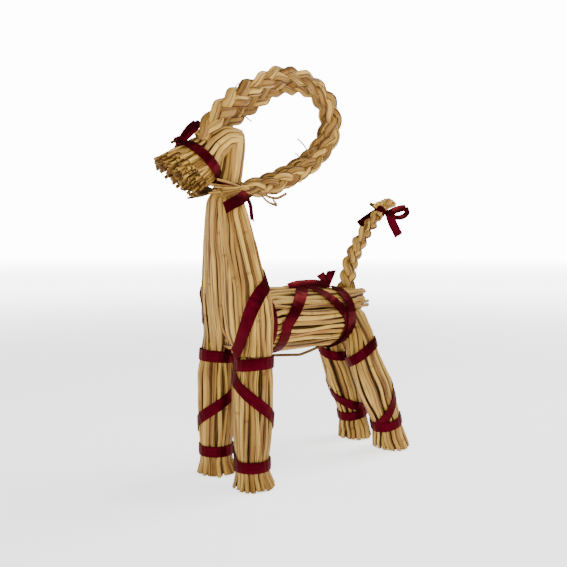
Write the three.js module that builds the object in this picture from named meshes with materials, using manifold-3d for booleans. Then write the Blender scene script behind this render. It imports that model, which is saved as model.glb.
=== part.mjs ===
// A straw goat ornament. Straw bundles are bound with satin ribbon into a neck with two forelegs, a body
// and two hind legs, and plaited straw makes the horns and the tail. Millimetres, +Z up. The goat faces -Y
// and its left side is +X. The pieces are laid out from the ground point between the forefeet, and at the
// end the whole goat is moved so that its origin is the middle of its footprint.
import * as THREE from 'three';
import { mergeVertices } from 'three/addons/utils/BufferGeometryUtils.js';
import Module from 'manifold-3d';

const wasm = await Module();
wasm.setup();

// Driving dimensions.
const GROOVE = 1.1; // how deep the valley between two neighbouring straws is
const GAP = 0.35; // clearance between pieces that touch
const LIFT = 1; // how far a wound ribbon's corners stand off the bundle, so that its flats clear it
const RIBBON_WIDTH = 10.5;
const RIBBON_THICK = 0.9;
const LEG_SPREAD = 29; // the legs stand this far to each side of the middle
const STRAWS_ROUND_LEG = 12;
const STRAWS_ROUND_NECK = 16;
const STRAWS_ROUND_BODY = 16;
const ROOM_SIDES = 6; // pairs of sides on the plain solids that make room for a neighbour
const ROOM = 1.2; // how far they stand off it
const PLAIT_PERIOD = 60; // one strand of a horn comes back to the same side after this length
const TAIL_PERIOD = 42;
const PLAIT_SIDES = 10;
const PLAIT_STEP = 8.2;
const STRAWS_ROUND_TUFT = 9;
const TAIL_BAND = 1.5 / 4; // where the band lies along the tuft's stations
const KNEE = 120.5; // heights of the ribbon bands on the forelegs
const FORE_ANKLE = 20;
const CHEST_LOW = 133; // the ribbon round the chest dips to this height between the legs
const CHEST_RISE = 71; // and climbs this far to the back of the neck
const TIE = 284; // height of the ribbon that ties the horns to the neck
const MUZZLE_BAND = 15.55 / 17; // where the band lies along the neck's stations
const STRAW_RADIUS = 1.3; // of the loose straw under the belly
const STRAND_SWING = 0.52; // how far a plait's strands swing across it, as a share of its half width
const STRAND_WEAVE = 0.27; // how far they weave in and out of it
const STRAND_RADIUS = 0.48;
const PLAIT_HEART = 0.35; // the plait is never thinner than this share, where no strand reaches a ray
const OVERLAY = 0.4; // how much further out a ribbon that crosses over another lies
const HIND_SWAY = 0.065; // how far the slanting bands on the hind legs tip along the bundle
const REAR_BAND = 94.5; // where the binding round the rear of the body lies
const REAR_SWAY = 0.02;
const CLIMB_ANGLE = 62; // over this many degrees the chest ribbon makes most of its climb
const CLIMB_POWER = 1.25;

// A bundle's stations are [x, y, z, half width, half depth, lean in degrees, squareness], from one end to
// the other. A squareness of 2 is an ellipse, and more brings it nearer to a rounded rectangle.
const FORELEG = [
  [LEG_SPREAD + 0.5, -33, 0, 20.5, 20.5],
  [LEG_SPREAD + 0.5, -34.5, 13.5, 15.9, 15.9],
  [LEG_SPREAD + 0.5, -34.6, 27, 15.8, 15.8],
  [LEG_SPREAD + 0.3, -34.2, 45, 17.8, 17.4],
  [LEG_SPREAD, -33.7, 70, 19.6, 19],
  [LEG_SPREAD, -33.6, 100, 19.6, 19.2],
  [LEG_SPREAD, -32.4, 114, 17.3, 17.3],
  [LEG_SPREAD, -31.8, 127, 17.1, 17.1],
  [LEG_SPREAD - 1.5, -30, 140, 17.6, 17.6],
  [LEG_SPREAD - 6, -30, 160, 15, 14],
];
const NECK = [
  [0, -30, 126, 15, 9],
  [0, -29.5, 140, 44, 18.2, 0, 3.2],
  [0, -30, 158, 45.5, 19.4, 0, 3],
  [0, -32, 178, 45, 20, 0, 2.7],
  [0, -36.5, 206, 39.5, 18, 0, 2.4],
  [0, -39.6, 234, 34, 16.6, 0, 2.2],
  [0, -42, 257, 29, 14.8],
  [0, -43.4, 271, 24, 13.5],
  [0, -41.8, 280, 12.9, 12],
  [0, -39.5, 290, 12.9, 12],
  [0, -37, 300, 12.9, 12],
  [0, -34.5, 318, 13.4, 12.2],
  [0, -33.5, 331.5, 14, 12.2],
  [0, -47, 330, 14.5, 12.5],
  [0, -60, 321, 15.5, 14.5],
  [0, -70, 310, 17.5, 22, 8],
  [0, -76, 304.5, 18, 24.5, 12],
  [0, -98.5, 290, 18.5, 30.5, 22],
];
// The taut outline that the ribbon round the chest follows, over both legs and the hollow between them.
const CHEST = [
  [0, -31, 116, 46.5, 18.6, 0, 3.6],
  [0, -30.3, 138, 46, 19.2, 0, 3.4],
  [0, -30, 158, 46, 19.8, 0, 3],
  [0, -32, 178, 45, 20, 0, 2.7],
  [0, -36.5, 206, 39.5, 18, 0, 2.4],
  [0, -39.6, 234, 34, 16.6, 0, 2.2],
];
const BODY = [
  [0, -9.6, 154.3, 31, 31.2],
  [0, 6, 154.5, 31.3, 31.5],
  [0, 55, 154, 31, 31.5],
  [0, 96, 152.5, 29.5, 29.5],
  [0, 112, 154, 27, 27],
];
const RUMP = [
  [0, 92, 164, 24.5, 16.5],
  [0, 120, 168.5, 24, 13.5],
  [0, 141, 171, 21, 11],
];
const HIND_LEFT = [
  [28.5, 168, 0, 20, 21],
  [28.3, 160.5, 25, 16.2, 16.2],
  [28.3, 156.5, 39, 16.3, 16.3],
  [29, 136, 78, 19.5, 19],
  [28, 119, 111, 17, 17.2],
  [25, 117, 133, 15.5, 14],
  [16, 118, 150, 15, 11.5],
];
const HIND_CROWN = [0, 120, 156, 15, 10.5];
const HIND_RIGHT = [
  [28.5, 168, 0, 20, 20],
  [28.3, 164.5, 25, 16.2, 16.2],
  [28.3, 161.5, 38, 16.3, 16.3],
  [29, 146, 78, 19.2, 19],
  [28, 132, 108, 17, 17.2],
  [25, 124, 131, 15.5, 14],
  [16, 121, 150, 15, 11.5],
];
// A plait's stations are [x, y, z, half width].
const HORN_LEFT = [
  [9, -77, 326, 7.5],
  [11, -62, 348, 10],
  [12, -37, 368.5, 11],
  [12, -11, 385, 9.5],
  [12, 15.5, 398, 8.5],
  [12, 40, 399, 8.5],
  [12, 64, 393.5, 9],
  [12, 82, 380.5, 9.5],
  [12, 90.5, 361, 9.5],
  [12.5, 84, 339, 9.5],
  [13.5, 65, 319, 9],
  [15, 38, 302.5, 9],
  [17.5, 10, 291, 9],
  [20, -13, 284.5, 8.5],
  [22, -34, 282.5, 7.5],
  [21.5, -52, 282.5, 5.5],
  [19, -70, 282.5, 3.6],
];
const HORN_RIGHT = [
  [-6, -74, 323, 7],
  [-9, -56, 335, 9],
  [-12, -36, 347, 9.5],
  [-12, -15, 360, 9],
  [-12, 5, 374, 9],
  [-12, 25, 387.5, 8.5],
  [-12, 44, 393, 8.5],
  [-12, 63, 396.5, 8.5],
  [-12, 81, 394, 9],
  [-12, 95, 385, 9.5],
  [-12, 102.5, 365, 9.5],
  [-12.5, 96, 343, 9.5],
  [-13.5, 76, 323, 9],
  [-15, 48, 306, 9],
  [-17.5, 18, 293, 9],
  [-20, -9, 285, 8.5],
  [-22, -32, 282.5, 7.5],
  [-21.5, -52, 282.5, 5.5],
  [-19, -68, 282.5, 3.6],
];
const TAIL = [
  [0, 122, 168, 10.5],
  [0, 124, 188, 10.5],
  [0, 129.5, 210, 10],
  [0, 143.5, 233, 9.3],
  [0, 158.5, 250, 8.2],
  [0, 173, 263.5, 7.2],
];
const TUFT = [
  [0, 171, 261.5, 7, 6.4],
  [0, 176.6, 266.8, 5.7, 5.7],
  [0, 182.2, 273.6, 5.7, 5.7],
  [0, 185, 277.5, 9, 7],
  [0, 187.5, 282, 12.5, 8.5],
];

const STRAW = new THREE.MeshStandardMaterial({ color: 0xd8b478, roughness: 0.55, metalness: 0 });
const SATIN = new THREE.MeshStandardMaterial({ color: 0x6e0f24, roughness: 0.35, metalness: 0 });

const point = (x, y, z) => new THREE.Vector3(x, y, z);
const smooth = (points) => new THREE.CatmullRomCurve3(points, false, 'centripetal');
const radians = THREE.MathUtils.degToRad;
const ACROSS = point(1, 0, 0);
const ALONG = point(0, 1, 0);

// ---- closed meshes from rings ------------------------------------------------------------------------

// Joins rings of equally many points into one closed body. Open rows get a fan over each end. A ribbon is
// split along the same diagonal on both of its flats, so that they don't cross where it twists.
function skin(rings, { joined = false, flat = false } = {}) {
  const sides = rings[0].length;
  const points = rings.flat();
  const faces = [];
  const last = joined ? rings.length : rings.length - 1;
  for (let r = 0; r < last; r += 1) {
    const near = r * sides;
    const far = ((r + 1) % rings.length) * sides;
    for (let s = 0; s < sides; s += 1) {
      const next = (s + 1) % sides;
      if (flat && s >= sides / 2) {
        faces.push(near + s, near + next, far + s, near + next, far + next, far + s);
      } else {
        faces.push(near + s, near + next, far + next, near + s, far + next, far + s);
      }
    }
  }
  if (!joined) {
    [rings[0], rings.at(-1)].forEach((ring, end) => {
      const middle = ring.reduce((sum, p) => sum.add(p), point(0, 0, 0)).divideScalar(sides);
      const first = end === 0 ? 0 : (rings.length - 1) * sides;
      points.push(middle);
      for (let s = 0; s < sides; s += 1) {
        const next = first + ((s + 1) % sides);
        faces.push(points.length - 1, end === 0 ? next : first + s, end === 0 ? first + s : next);
      }
    });
  }
  const geometry = new THREE.BufferGeometry().setFromPoints(points);
  geometry.setIndex(faces);
  return geometry;
}

function solid(geometry) {
  const bare = geometry.clone();
  bare.deleteAttribute('normal');
  bare.deleteAttribute('uv');
  const merged = mergeVertices(bare, 1e-5);
  const vertProperties = new Float32Array(merged.attributes.position.array);
  const triVerts = new Uint32Array(merged.index.array);
  const body = new wasm.Manifold(new wasm.Mesh({ numProp: 3, vertProperties, triVerts }));
  return body.volume() < 0 ? turnedOut(vertProperties, triVerts) : body;
}

function turnedOut(vertProperties, triVerts) {
  for (let t = 0; t < triVerts.length; t += 3) {
    [triVerts[t + 1], triVerts[t + 2]] = [triVerts[t + 2], triVerts[t + 1]];
  }
  return new wasm.Manifold(new wasm.Mesh({ numProp: 3, vertProperties, triVerts }));
}

// Joins solids into one and fills the thin pockets that are shut in between them.
function joinAll(solids) {
  const whole = solids.reduce((sum, piece) => sum.add(piece));
  return wasm.Manifold.compose(whole.decompose().filter((shell) => shell.volume() > 0));
}

function named(name, body, material) {
  const { vertProperties, triVerts } = body.getMesh();
  const geometry = new THREE.BufferGeometry();
  geometry.setAttribute('position', new THREE.BufferAttribute(new Float32Array(vertProperties), 3));
  geometry.setIndex([...triVerts]);
  geometry.computeVertexNormals();
  const mesh = new THREE.Mesh(geometry, material);
  mesh.name = name;
  return mesh;
}

// ---- straw bundles -----------------------------------------------------------------------------------

// A bundle changes evenly from each station to the next. frame(u) gives the section at u, from 0 to 1,
// and outside(u, angle, lift) is a point lifted off its surface.
function bundle(stations, reference = ACROSS) {
  const middles = stations.map(([x, y, z]) => point(x, y, z));
  const axis = smooth(middles);
  const spans = stations.length - 1;
  const headings = middles.map((middle, i) => axis.getTangent(i / spans));
  const frame = (u) => {
    const span = Math.min(Math.floor(u * spans), spans - 1);
    const share = u * spans - span;
    const value = (column, plain) => THREE.MathUtils.lerp(
      stations[span][column] ?? plain, stations[span + 1][column] ?? plain, share);
    const middle = middles[span].clone().lerp(middles[span + 1], share);
    const along = headings[span].clone().lerp(headings[span + 1], share).normalize();
    const side = reference.clone().addScaledVector(along, -reference.dot(along)).normalize();
    const up = along.clone().cross(side).applyAxisAngle(side, radians(value(5, 0)));
    return { middle, along, side, up, wide: value(3), deep: value(4), square: value(6, 2) };
  };
  const outside = (u, angle, lift = 0) => {
    const { middle, side, up, wide, deep, square } = frame(u);
    return middle.addScaledVector(side, (wide + lift) * rounded(Math.cos(angle), square))
      .addScaledVector(up, (deep + lift) * rounded(Math.sin(angle), square));
  };
  return { stations, frame, outside };
}

function rounded(value, square) {
  return Math.sign(value) * Math.abs(value) ** (2 / square);
}

// The bundle's solid: crests where the outer straws are, valleys between them. grow swells it all round,
// and ground names the ends whose rings slide along the bundle until they lie flat on the ground.
function fluted(shape, straws, { grow = 0, groove = GROOVE, ground = [] } = {}) {
  const count = shape.stations.length - 1;
  const rings = [];
  for (let r = 0; r <= count; r += 1) {
    const u = r / count;
    const { along } = shape.frame(u);
    const ring = [];
    for (let k = 0; k < 2 * straws; k += 1) {
      const p = shape.outside(u, (k * Math.PI) / straws, grow - (k % 2 === 0 ? 0 : groove));
      ring.push(ground.includes(u) ? p.addScaledVector(along, -p.z / along.z) : p);
    }
    rings.push(ring);
  }
  return solid(skin(rings));
}

// The plain solid that a neighbour leaves free.
function room(shape) {
  return fluted(shape, ROOM_SIDES, { grow: ROOM, groove: 0 });
}

// Where along an upright or lengthwise bundle its middle reaches a height or a place on an axis.
function where(shape, axis, value, from = 0, to = 1) {
  let [low, high] = [from, to];
  const rising = shape.frame(to).middle[axis] > shape.frame(from).middle[axis];
  for (let i = 0; i < 24; i += 1) {
    const half = (low + high) / 2;
    if (shape.frame(half).middle[axis] < value === rising) {
      low = half;
    } else {
      high = half;
    }
  }
  return (low + high) / 2;
}

// ---- plaits ------------------------------------------------------------------------------------------

// A flat plait of three strands. Strand k swings across the plait as sin(a) and in and out of it as
// sin(2a), a third of a turn apart. Each ring goes, on every ray, as far as the outermost strand.
function plait(stations, period) {
  const axis = smooth(stations.map(([x, y, z]) => point(x, y, z)));
  const size = smooth(stations.map(([, , , half]) => point(half, 0, 0)));
  const length = axis.getLength();
  const count = Math.round(length / PLAIT_STEP);
  const rings = [];
  for (let r = 0; r <= count; r += 1) {
    const u = axis.getUtoTmapping(r / count);
    const middle = axis.getPoint(u);
    const along = axis.getTangent(u);
    const half = size.getPoint(u).x;
    const out = ACROSS.clone().addScaledVector(along, -ACROSS.dot(along)).normalize();
    const side = out.clone().cross(along);
    const turn = (2 * Math.PI * length * r) / (count * period);
    const ring = [];
    for (let k = 0; k < PLAIT_SIDES; k += 1) {
      const ray = (2 * Math.PI * k) / PLAIT_SIDES;
      const reach = strandReach(ray, turn, half);
      ring.push(middle.clone().addScaledVector(side, reach * Math.cos(ray))
        .addScaledVector(out, reach * Math.sin(ray)));
    }
    rings.push(ring);
  }
  return solid(skin(rings));
}

// How far the outermost strand reaches on a ray from the plait's middle.
function strandReach(ray, turn, half) {
  const swing = half * STRAND_SWING;
  const weave = half * STRAND_WEAVE;
  const radius = half * STRAND_RADIUS;
  let reach = half * PLAIT_HEART;
  for (let strand = 0; strand < 3; strand += 1) {
    const a = turn + (strand * 2 * Math.PI) / 3;
    const across = swing * Math.sin(a);
    const through = weave * Math.sin(2 * a);
    const near = across * Math.cos(ray) + through * Math.sin(ray);
    const aside = across * Math.sin(ray) - through * Math.cos(ray);
    if (Math.abs(aside) < radius) {
      reach = Math.max(reach, near + Math.sqrt(radius ** 2 - aside ** 2));
    }
  }
  return reach;
}

// ---- ribbons -----------------------------------------------------------------------------------------

// A ribbon laid through points, flat against the given outward directions. joined closes it into a ring.
function ribbon(points, outward, { width = RIBBON_WIDTH, joined = false } = {}) {
  const count = points.length;
  const rings = points.map((p, i) => {
    const before = points[joined ? (i + count - 1) % count : Math.max(i - 1, 0)];
    const after = points[joined ? (i + 1) % count : Math.min(i + 1, count - 1)];
    const along = after.clone().sub(before).normalize();
    const edge = outward[i].clone().cross(along).normalize().multiplyScalar(width / 2);
    const thick = along.clone().cross(edge).normalize().multiplyScalar(-RIBBON_THICK);
    const low = p.clone();
    const high = p.clone().add(thick.dot(outward[i]) > 0 ? thick : thick.negate());
    return [low.clone().sub(edge), low.clone().add(edge), high.clone().add(edge), high.clone().sub(edge)];
  });
  return solid(skin(rings, { joined, flat: true }));
}

// A ribbon wound on a bundle. place(t) gives [u, angle] on it for t from 0 to 1.
function wound(shape, place, steps, { joined = false, lift = LIFT, width = RIBBON_WIDTH } = {}) {
  const points = [];
  const outward = [];
  for (let i = 0; i < (joined ? steps : steps + 1); i += 1) {
    const [u, angle] = place(i / steps);
    const p = shape.outside(u, angle, lift);
    const round = shape.outside(u, angle + 0.02, lift).sub(shape.outside(u, angle - 0.02, lift));
    const further = shape.outside(Math.min(u + 0.01, 1), angle, lift);
    const down = further.sub(shape.outside(Math.max(u - 0.01, 0), angle, lift));
    const normal = round.cross(down).normalize();
    const away = p.clone().sub(shape.frame(u).middle);
    points.push(p);
    outward.push(normal.dot(away) > 0 ? normal : normal.negate());
  }
  return ribbon(points, outward, { width, joined });
}

// A closed band round a bundle at u, tipped by sway along the bundle, highest towards the given angle.
function band(shape, u, { sway = 0, towards = 0, steps = 12, lift = LIFT, width = RIBBON_WIDTH } = {}) {
  return wound(shape, (t) => {
    const angle = 2 * Math.PI * t;
    return [u + sway * Math.cos(angle - towards), angle];
  }, steps, { joined: true, lift, width });
}

// A ribbon wound round a leg from one height and angle to another, angles in degrees.
function spiral(shape, [fromHeight, fromAngle], [toHeight, toAngle], steps, options) {
  return wound(shape, (t) => {
    const angle = radians(THREE.MathUtils.lerp(fromAngle, toAngle, t));
    return [where(shape, 'z', THREE.MathUtils.lerp(fromHeight, toHeight, t)), angle];
  }, steps, options);
}

// A free end or a bow's loop: a ribbon through a few points, with its flat side facing the given way.
function strap(places, facing, steps = 5, width = RIBBON_WIDTH) {
  const curve = new THREE.CatmullRomCurve3(places.map((p) => point(...p)), false, 'centripetal');
  const path = curve.getPoints(steps);
  return ribbon(path, path.map(() => point(...facing)), { width });
}

// A point inside the thickness of a band, where a strap can start, at an angle in degrees.
function knotOn(shape, u, angle) {
  return shape.outside(u, radians(angle), LIFT + RIBBON_THICK / 2).toArray();
}

// A ribbon without what little of it reaches into the straws that it is wound on, nor any crumb of that.
function offStraws(ribbonBody, shape, straws) {
  const cut = ribbonBody.subtract(fluted(shape, straws, { grow: GAP }));
  return cut.decompose().sort((a, b) => b.volume() - a.volume())[0];
}

const mirrored = (body) => body.mirror([1, 0, 0]);

// ---- the straw pieces --------------------------------------------------------------------------------

const foreleg = bundle(FORELEG);
const neck = bundle(NECK);
const trunk = bundle(BODY);
const rump = bundle(RUMP);
const chest = bundle(CHEST);
const tuft = bundle(TUFT);
const hindLeft = bundle(HIND_LEFT, ALONG);
const hindRight = bundle(HIND_RIGHT, ALONG);
const hind = bundle(
  [...HIND_LEFT, HIND_CROWN, ...HIND_RIGHT.toReversed().map(([x, ...rest]) => [-x, ...rest])], ALONG);

function neckAndForelegs() {
  const leg = fluted(foreleg, STRAWS_ROUND_LEG, { ground: [0] });
  return joinAll([fluted(neck, STRAWS_ROUND_NECK), leg, mirrored(leg)]);
}

function looseStraw() {
  const route = [[10, 15, 126], [9.5, 22, 119], [8.5, 45, 115.7], [8, 70, 118], [8, 84, 126]];
  return fluted(bundle(route.map((place) => [...place, STRAW_RADIUS, STRAW_RADIUS])), 3, { groove: 0 });
}

function bodyBundle() {
  const whole = fluted(trunk, STRAWS_ROUND_BODY).add(fluted(rump, STRAWS_ROUND_LEG));
  return whole.subtract(room(hind)).add(looseStraw());
}

const horn = (stations) => plait(stations, PLAIT_PERIOD).subtract(room(neck));

function tailPlait() {
  const free = plait(TAIL, TAIL_PERIOD).subtract(room(trunk)).subtract(room(rump));
  return free.add(fluted(tuft, STRAWS_ROUND_TUFT));
}

// ---- the ribbons -------------------------------------------------------------------------------------

function forelegRibbon(start, end, steps) {
  return joinAll([
    band(foreleg, where(foreleg, 'z', KNEE)),
    spiral(foreleg, start, end, steps),
    band(foreleg, where(foreleg, 'z', FORE_ANKLE)),
  ]);
}

function hindlegRibbon(shape, knee, highSide, start, end) {
  const slant = { sway: HIND_SWAY, towards: radians(highSide), lift: LIFT + OVERLAY };
  return joinAll([
    band(shape, where(shape, 'z', knee), slant),
    spiral(shape, start, end, 14),
    band(shape, where(shape, 'z', start[0])),
  ]);
}

// A turn of ribbon round the body. On each side it moves evenly along the body, from one place at the top
// of the back to another that it reaches at the given angle from the top, and then lies straight across.
function bodyTurn(top, belly, reached, lift) {
  return wound(trunk, (t) => {
    const fromTop = 360 * Math.abs(t - 0.5);
    const share = Math.min(fromTop / reached, 1);
    return [where(trunk, 'y', THREE.MathUtils.lerp(top, belly, share)), 2 * Math.PI * t + Math.PI / 2];
  }, 20, { joined: true, lift });
}

function bodyRibbon() {
  const rear = { sway: REAR_SWAY, towards: -Math.PI / 2, steps: 16, lift: LIFT + 1.5 * OVERLAY };
  const knot = knotOn(trunk, where(trunk, 'y', 90), -90);
  return joinAll([
    bodyTurn(57, 7, 95, LIFT),
    bodyTurn(48, 94, 90, LIFT + OVERLAY),
    band(trunk, where(trunk, 'y', REAR_BAND), rear),
    strap([[0, 38, 187.4], [0, 62, 188.6], [0, 94, 184.8]], [0, 0, 1], 4, 8),
    strap([knot, [1, 88, 191], [3, 79, 199]], [1, -0.3, 0.3], 3),
    strap([knot, [2, 92, 192], [4, 96, 202]], [1, -0.6, 0], 3),
  ]);
}

// A turn that climbs from between the forelegs to the back of the neck, a strap from there down onto the
// back, and a turn round the front of the body.
function chestRibbon() {
  const round = wound(chest, (t) => {
    const fromFront = 360 * Math.abs(t - 0.5);
    const climb = 1 - Math.exp(-((fromFront / CLIMB_ANGLE) ** CLIMB_POWER));
    return [where(chest, 'z', CHEST_LOW + CHEST_RISE * climb), 2 * Math.PI * t + Math.PI / 2];
  }, 24, { joined: true });
  const overWithers = [[0, -17.4, 204], [0, -13.7, 194], [0, -10, 187.4], [0, -2, 186.7]];
  const withers = strap(overWithers, [0, 0.6, 0.8]);
  return joinAll([round, withers, band(trunk, where(trunk, 'y', -4), { steps: 16 })]);
}

function muzzleRibbon() {
  const knot = knotOn(neck, MUZZLE_BAND, 100);
  return offStraws(joinAll([
    band(neck, MUZZLE_BAND, { steps: 16 }),
    strap([knot, [-7, -80, 338], [-7, -70.5, 346]], [0.7, -0.5, 0.4], 4, 7),
    strap([[-7.2, -71.2, 345.4], [-6, -71, 345.5], [-2, -73, 342], knot], [0.7, -0.5, 0.4], 4, 7),
    strap([knot, [-5, -92, 327], [-8, -99, 323.5]], [0, -0.5, 0.8], 3, 5),
  ]), neck, STRAWS_ROUND_NECK);
}

function tieRibbon() {
  const u = where(neck, 'z', TIE, 0, 0.55);
  const overNeck = [[11, -27.5, 275], [23, -30, 268], [31, -43, 264], [31, -58, 261]];
  return offStraws(joinAll([
    band(neck, u, { width: 8 }),
    strap([knotOn(neck, u, 70), ...overNeck], [0.7, -0.4, 0.2], 7),
    strap([knotOn(neck, u, 75), [5, -24.5, 270], [6, -21, 252]], [0.4, 1, 0.3], 5, 7),
  ]), neck, STRAWS_ROUND_NECK);
}

function tailRibbon() {
  const knot = knotOn(tuft, TAIL_BAND, -30);
  return offStraws(joinAll([
    band(tuft, TAIL_BAND, { steps: 12, width: 8 }),
    strap([knot, [8, 198, 276], [9, 211, 281], [9, 214, 273]], [0, -0.6, 1], 5, 8),
    strap([[9, 213.5, 274.5], [9, 212, 272.5], [8, 200, 267], knot], [0, -0.6, 1], 4, 8),
    strap([knot, [8, 190, 256], [10, 199, 244]], [1, -0.7, 0], 3, 9),
    strap([knotOn(tuft, TAIL_BAND, 190), [-8.5, 168, 261], [-8, 152, 251]], [1, -0.7, 0], 3, 9),
  ]), tuft, STRAWS_ROUND_TUFT).subtract(plait(TAIL, TAIL_PERIOD));
}

const group = new THREE.Group();
group.add(
  named('neck_and_forelegs', neckAndForelegs(), STRAW),
  named('body_bundle', bodyBundle(), STRAW),
  named('hind_legs', fluted(hind, STRAWS_ROUND_LEG, { ground: [0, 1] }), STRAW),
  named('horn_left', horn(HORN_LEFT), STRAW),
  named('horn_right', horn(HORN_RIGHT), STRAW),
  named('tail_plait', tailPlait(), STRAW),
  named('ribbon_foreleg_left', forelegRibbon([KNEE, -165], [FORE_ANKLE, 250], 18), SATIN),
  named('ribbon_foreleg_right', mirrored(forelegRibbon([KNEE, -117], [FORE_ANKLE, 470], 23)), SATIN),
  named('ribbon_hindleg_left', hindlegRibbon(hindLeft, 111, -40, [32, 180], [104, 490]), SATIN),
  named('ribbon_hindleg_right', mirrored(hindlegRibbon(hindRight, 107, 240, [32, 60], [104, 400])), SATIN),
  named('ribbon_chest', chestRibbon(), SATIN),
  named('ribbon_body', bodyRibbon(), SATIN),
  named('ribbon_muzzle', muzzleRibbon(), SATIN),
  named('ribbon_horns', tieRibbon(), SATIN),
  named('ribbon_tail', tailRibbon(), SATIN),
);

const box = new THREE.Box3().setFromObject(group);
const centre = box.getCenter(new THREE.Vector3());
group.position.set(-centre.x, -centre.y, -box.min.z);

export default group;
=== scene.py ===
"""Builds the looks of a straw goat ornament around its frame: bundles of single straws, plaits, loose
stalks and satin ribbons, each standing in for one solid of the frame. Lengths in the tables and in the
operators are millimetres, laid out from the ground point between the forefeet; everything in Blender is
in metres."""

import bpy
import numpy as np
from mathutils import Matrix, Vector


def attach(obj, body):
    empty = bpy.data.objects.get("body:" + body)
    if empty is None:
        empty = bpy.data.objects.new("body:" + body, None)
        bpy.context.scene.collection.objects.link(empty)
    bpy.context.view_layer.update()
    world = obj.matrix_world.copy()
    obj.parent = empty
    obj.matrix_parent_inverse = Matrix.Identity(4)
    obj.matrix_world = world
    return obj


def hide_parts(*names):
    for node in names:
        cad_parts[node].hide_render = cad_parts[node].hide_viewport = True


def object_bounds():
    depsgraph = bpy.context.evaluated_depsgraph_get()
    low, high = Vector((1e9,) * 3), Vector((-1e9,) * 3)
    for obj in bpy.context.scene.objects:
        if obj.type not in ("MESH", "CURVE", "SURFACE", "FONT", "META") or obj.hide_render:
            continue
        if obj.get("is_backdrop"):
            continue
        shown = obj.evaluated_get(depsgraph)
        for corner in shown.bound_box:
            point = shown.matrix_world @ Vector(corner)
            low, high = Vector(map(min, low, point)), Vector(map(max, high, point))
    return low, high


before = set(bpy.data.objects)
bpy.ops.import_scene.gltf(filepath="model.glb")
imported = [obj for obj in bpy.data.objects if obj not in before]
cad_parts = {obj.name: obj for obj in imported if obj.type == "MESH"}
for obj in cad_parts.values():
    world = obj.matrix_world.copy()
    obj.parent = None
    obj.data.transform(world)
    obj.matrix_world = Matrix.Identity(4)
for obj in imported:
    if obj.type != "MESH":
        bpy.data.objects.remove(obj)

bl_info = {
    "name": "Straw Goat",
    "version": (1, 0, 0),
    "blender": (4, 5, 0),
    "location": "View3D > Sidebar > Straw Goat",
    "description": "Makes the straws, plaits and satin ribbons of a straw goat ornament",
    "category": "Object",
}

MM = 0.001
TURN = 2 * np.pi
CAD_LOW, CAD_HIGH = (np.array(corner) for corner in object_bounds())
LAYOUT_LOW = np.array([-50.7026, -123.424, 0.0]) * MM  # the frame's low corner in the layout
PLACE = CAD_LOW - LAYOUT_LOW

# A bundle's stations are x, y, z, half width, half depth, lean in degrees (0) and squareness (2).
FORELEG = [
    [29.5, -33, 0, 20.5, 20.5], [29.5, -34.5, 13.5, 15.9, 15.9], [29.5, -34.6, 27, 15.8, 15.8],
    [29.3, -34.2, 45, 17.8, 17.4], [29, -33.7, 70, 19.6, 19], [29, -33.6, 100, 19.6, 19.2],
    [29, -32.4, 114, 17.3, 17.3], [29, -31.8, 127, 17.1, 17.1], [27.5, -30, 140, 17.6, 17.6],
    [23, -30, 160, 15, 14],
]
NECK = [
    [0, -30, 126, 44, 17.6, 0, 3.4], [0, -29.5, 140, 44, 18.2, 0, 3.2],
    [0, -30, 158, 45.5, 19.4, 0, 3], [0, -32, 178, 45, 20, 0, 2.7],
    [0, -36.5, 206, 39.5, 18, 0, 2.4], [0, -39.6, 234, 34, 16.6, 0, 2.2], [0, -42, 257, 29, 14.8],
    [0, -43.4, 271, 24, 13.5], [0, -41.8, 280, 12.9, 12], [0, -39.5, 290, 12.9, 12],
    [0, -37, 300, 12.9, 12], [0, -34.5, 318, 13.4, 12.2], [0, -33.5, 331.5, 14, 12.2],
    [0, -47, 330, 14.5, 12.5], [0, -60, 321, 15.5, 14.5], [0, -70, 310, 17.5, 22, 8],
    [0, -76, 304.5, 18, 24.5, 12], [0, -98.5, 290, 18.5, 30.5, 22],
]
# The outline that the chest's ribbon is wound on.
CHEST = [
    [0, -31, 116, 46.5, 18.6, 0, 3.6], [0, -30.3, 138, 46, 19.2, 0, 3.4],
    [0, -30, 158, 46, 19.8, 0, 3], [0, -32, 178, 45, 20, 0, 2.7], [0, -36.5, 206, 39.5, 18, 0, 2.4],
    [0, -39.6, 234, 34, 16.6, 0, 2.2],
]
BODY = [
    [0, -9.6, 154.3, 31, 31.2], [0, 6, 154.5, 31.3, 31.5], [0, 55, 154, 31, 31.5],
    [0, 96, 152.5, 29.5, 29.5], [0, 112, 154, 27, 27],
]
RUMP = [
    [0, 92, 164, 24.5, 16.5], [0, 121, 168.5, 24, 14], [0, 145, 170.5, 21.5, 12],
]
HIND_LEFT = [
    [28.5, 168, 0, 20, 21], [28.3, 160.5, 25, 16.2, 16.2], [28.3, 156.5, 39, 16.3, 16.3],
    [29, 136, 78, 19.5, 19], [28, 119, 111, 17, 17.2], [25, 117, 133, 15.5, 14],
    [16, 118, 150, 15, 11.5],
]
HIND_CROWN = [0, 120, 156, 15, 10.5]
HIND_RIGHT = [
    [28.5, 168, 0, 20, 20], [28.3, 164.5, 25, 16.2, 16.2], [28.3, 161.5, 38, 16.3, 16.3],
    [29, 146, 78, 19.2, 19], [28, 132, 108, 17, 17.2], [25, 124, 131, 15.5, 14],
    [16, 121, 150, 15, 11.5],
]
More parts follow.
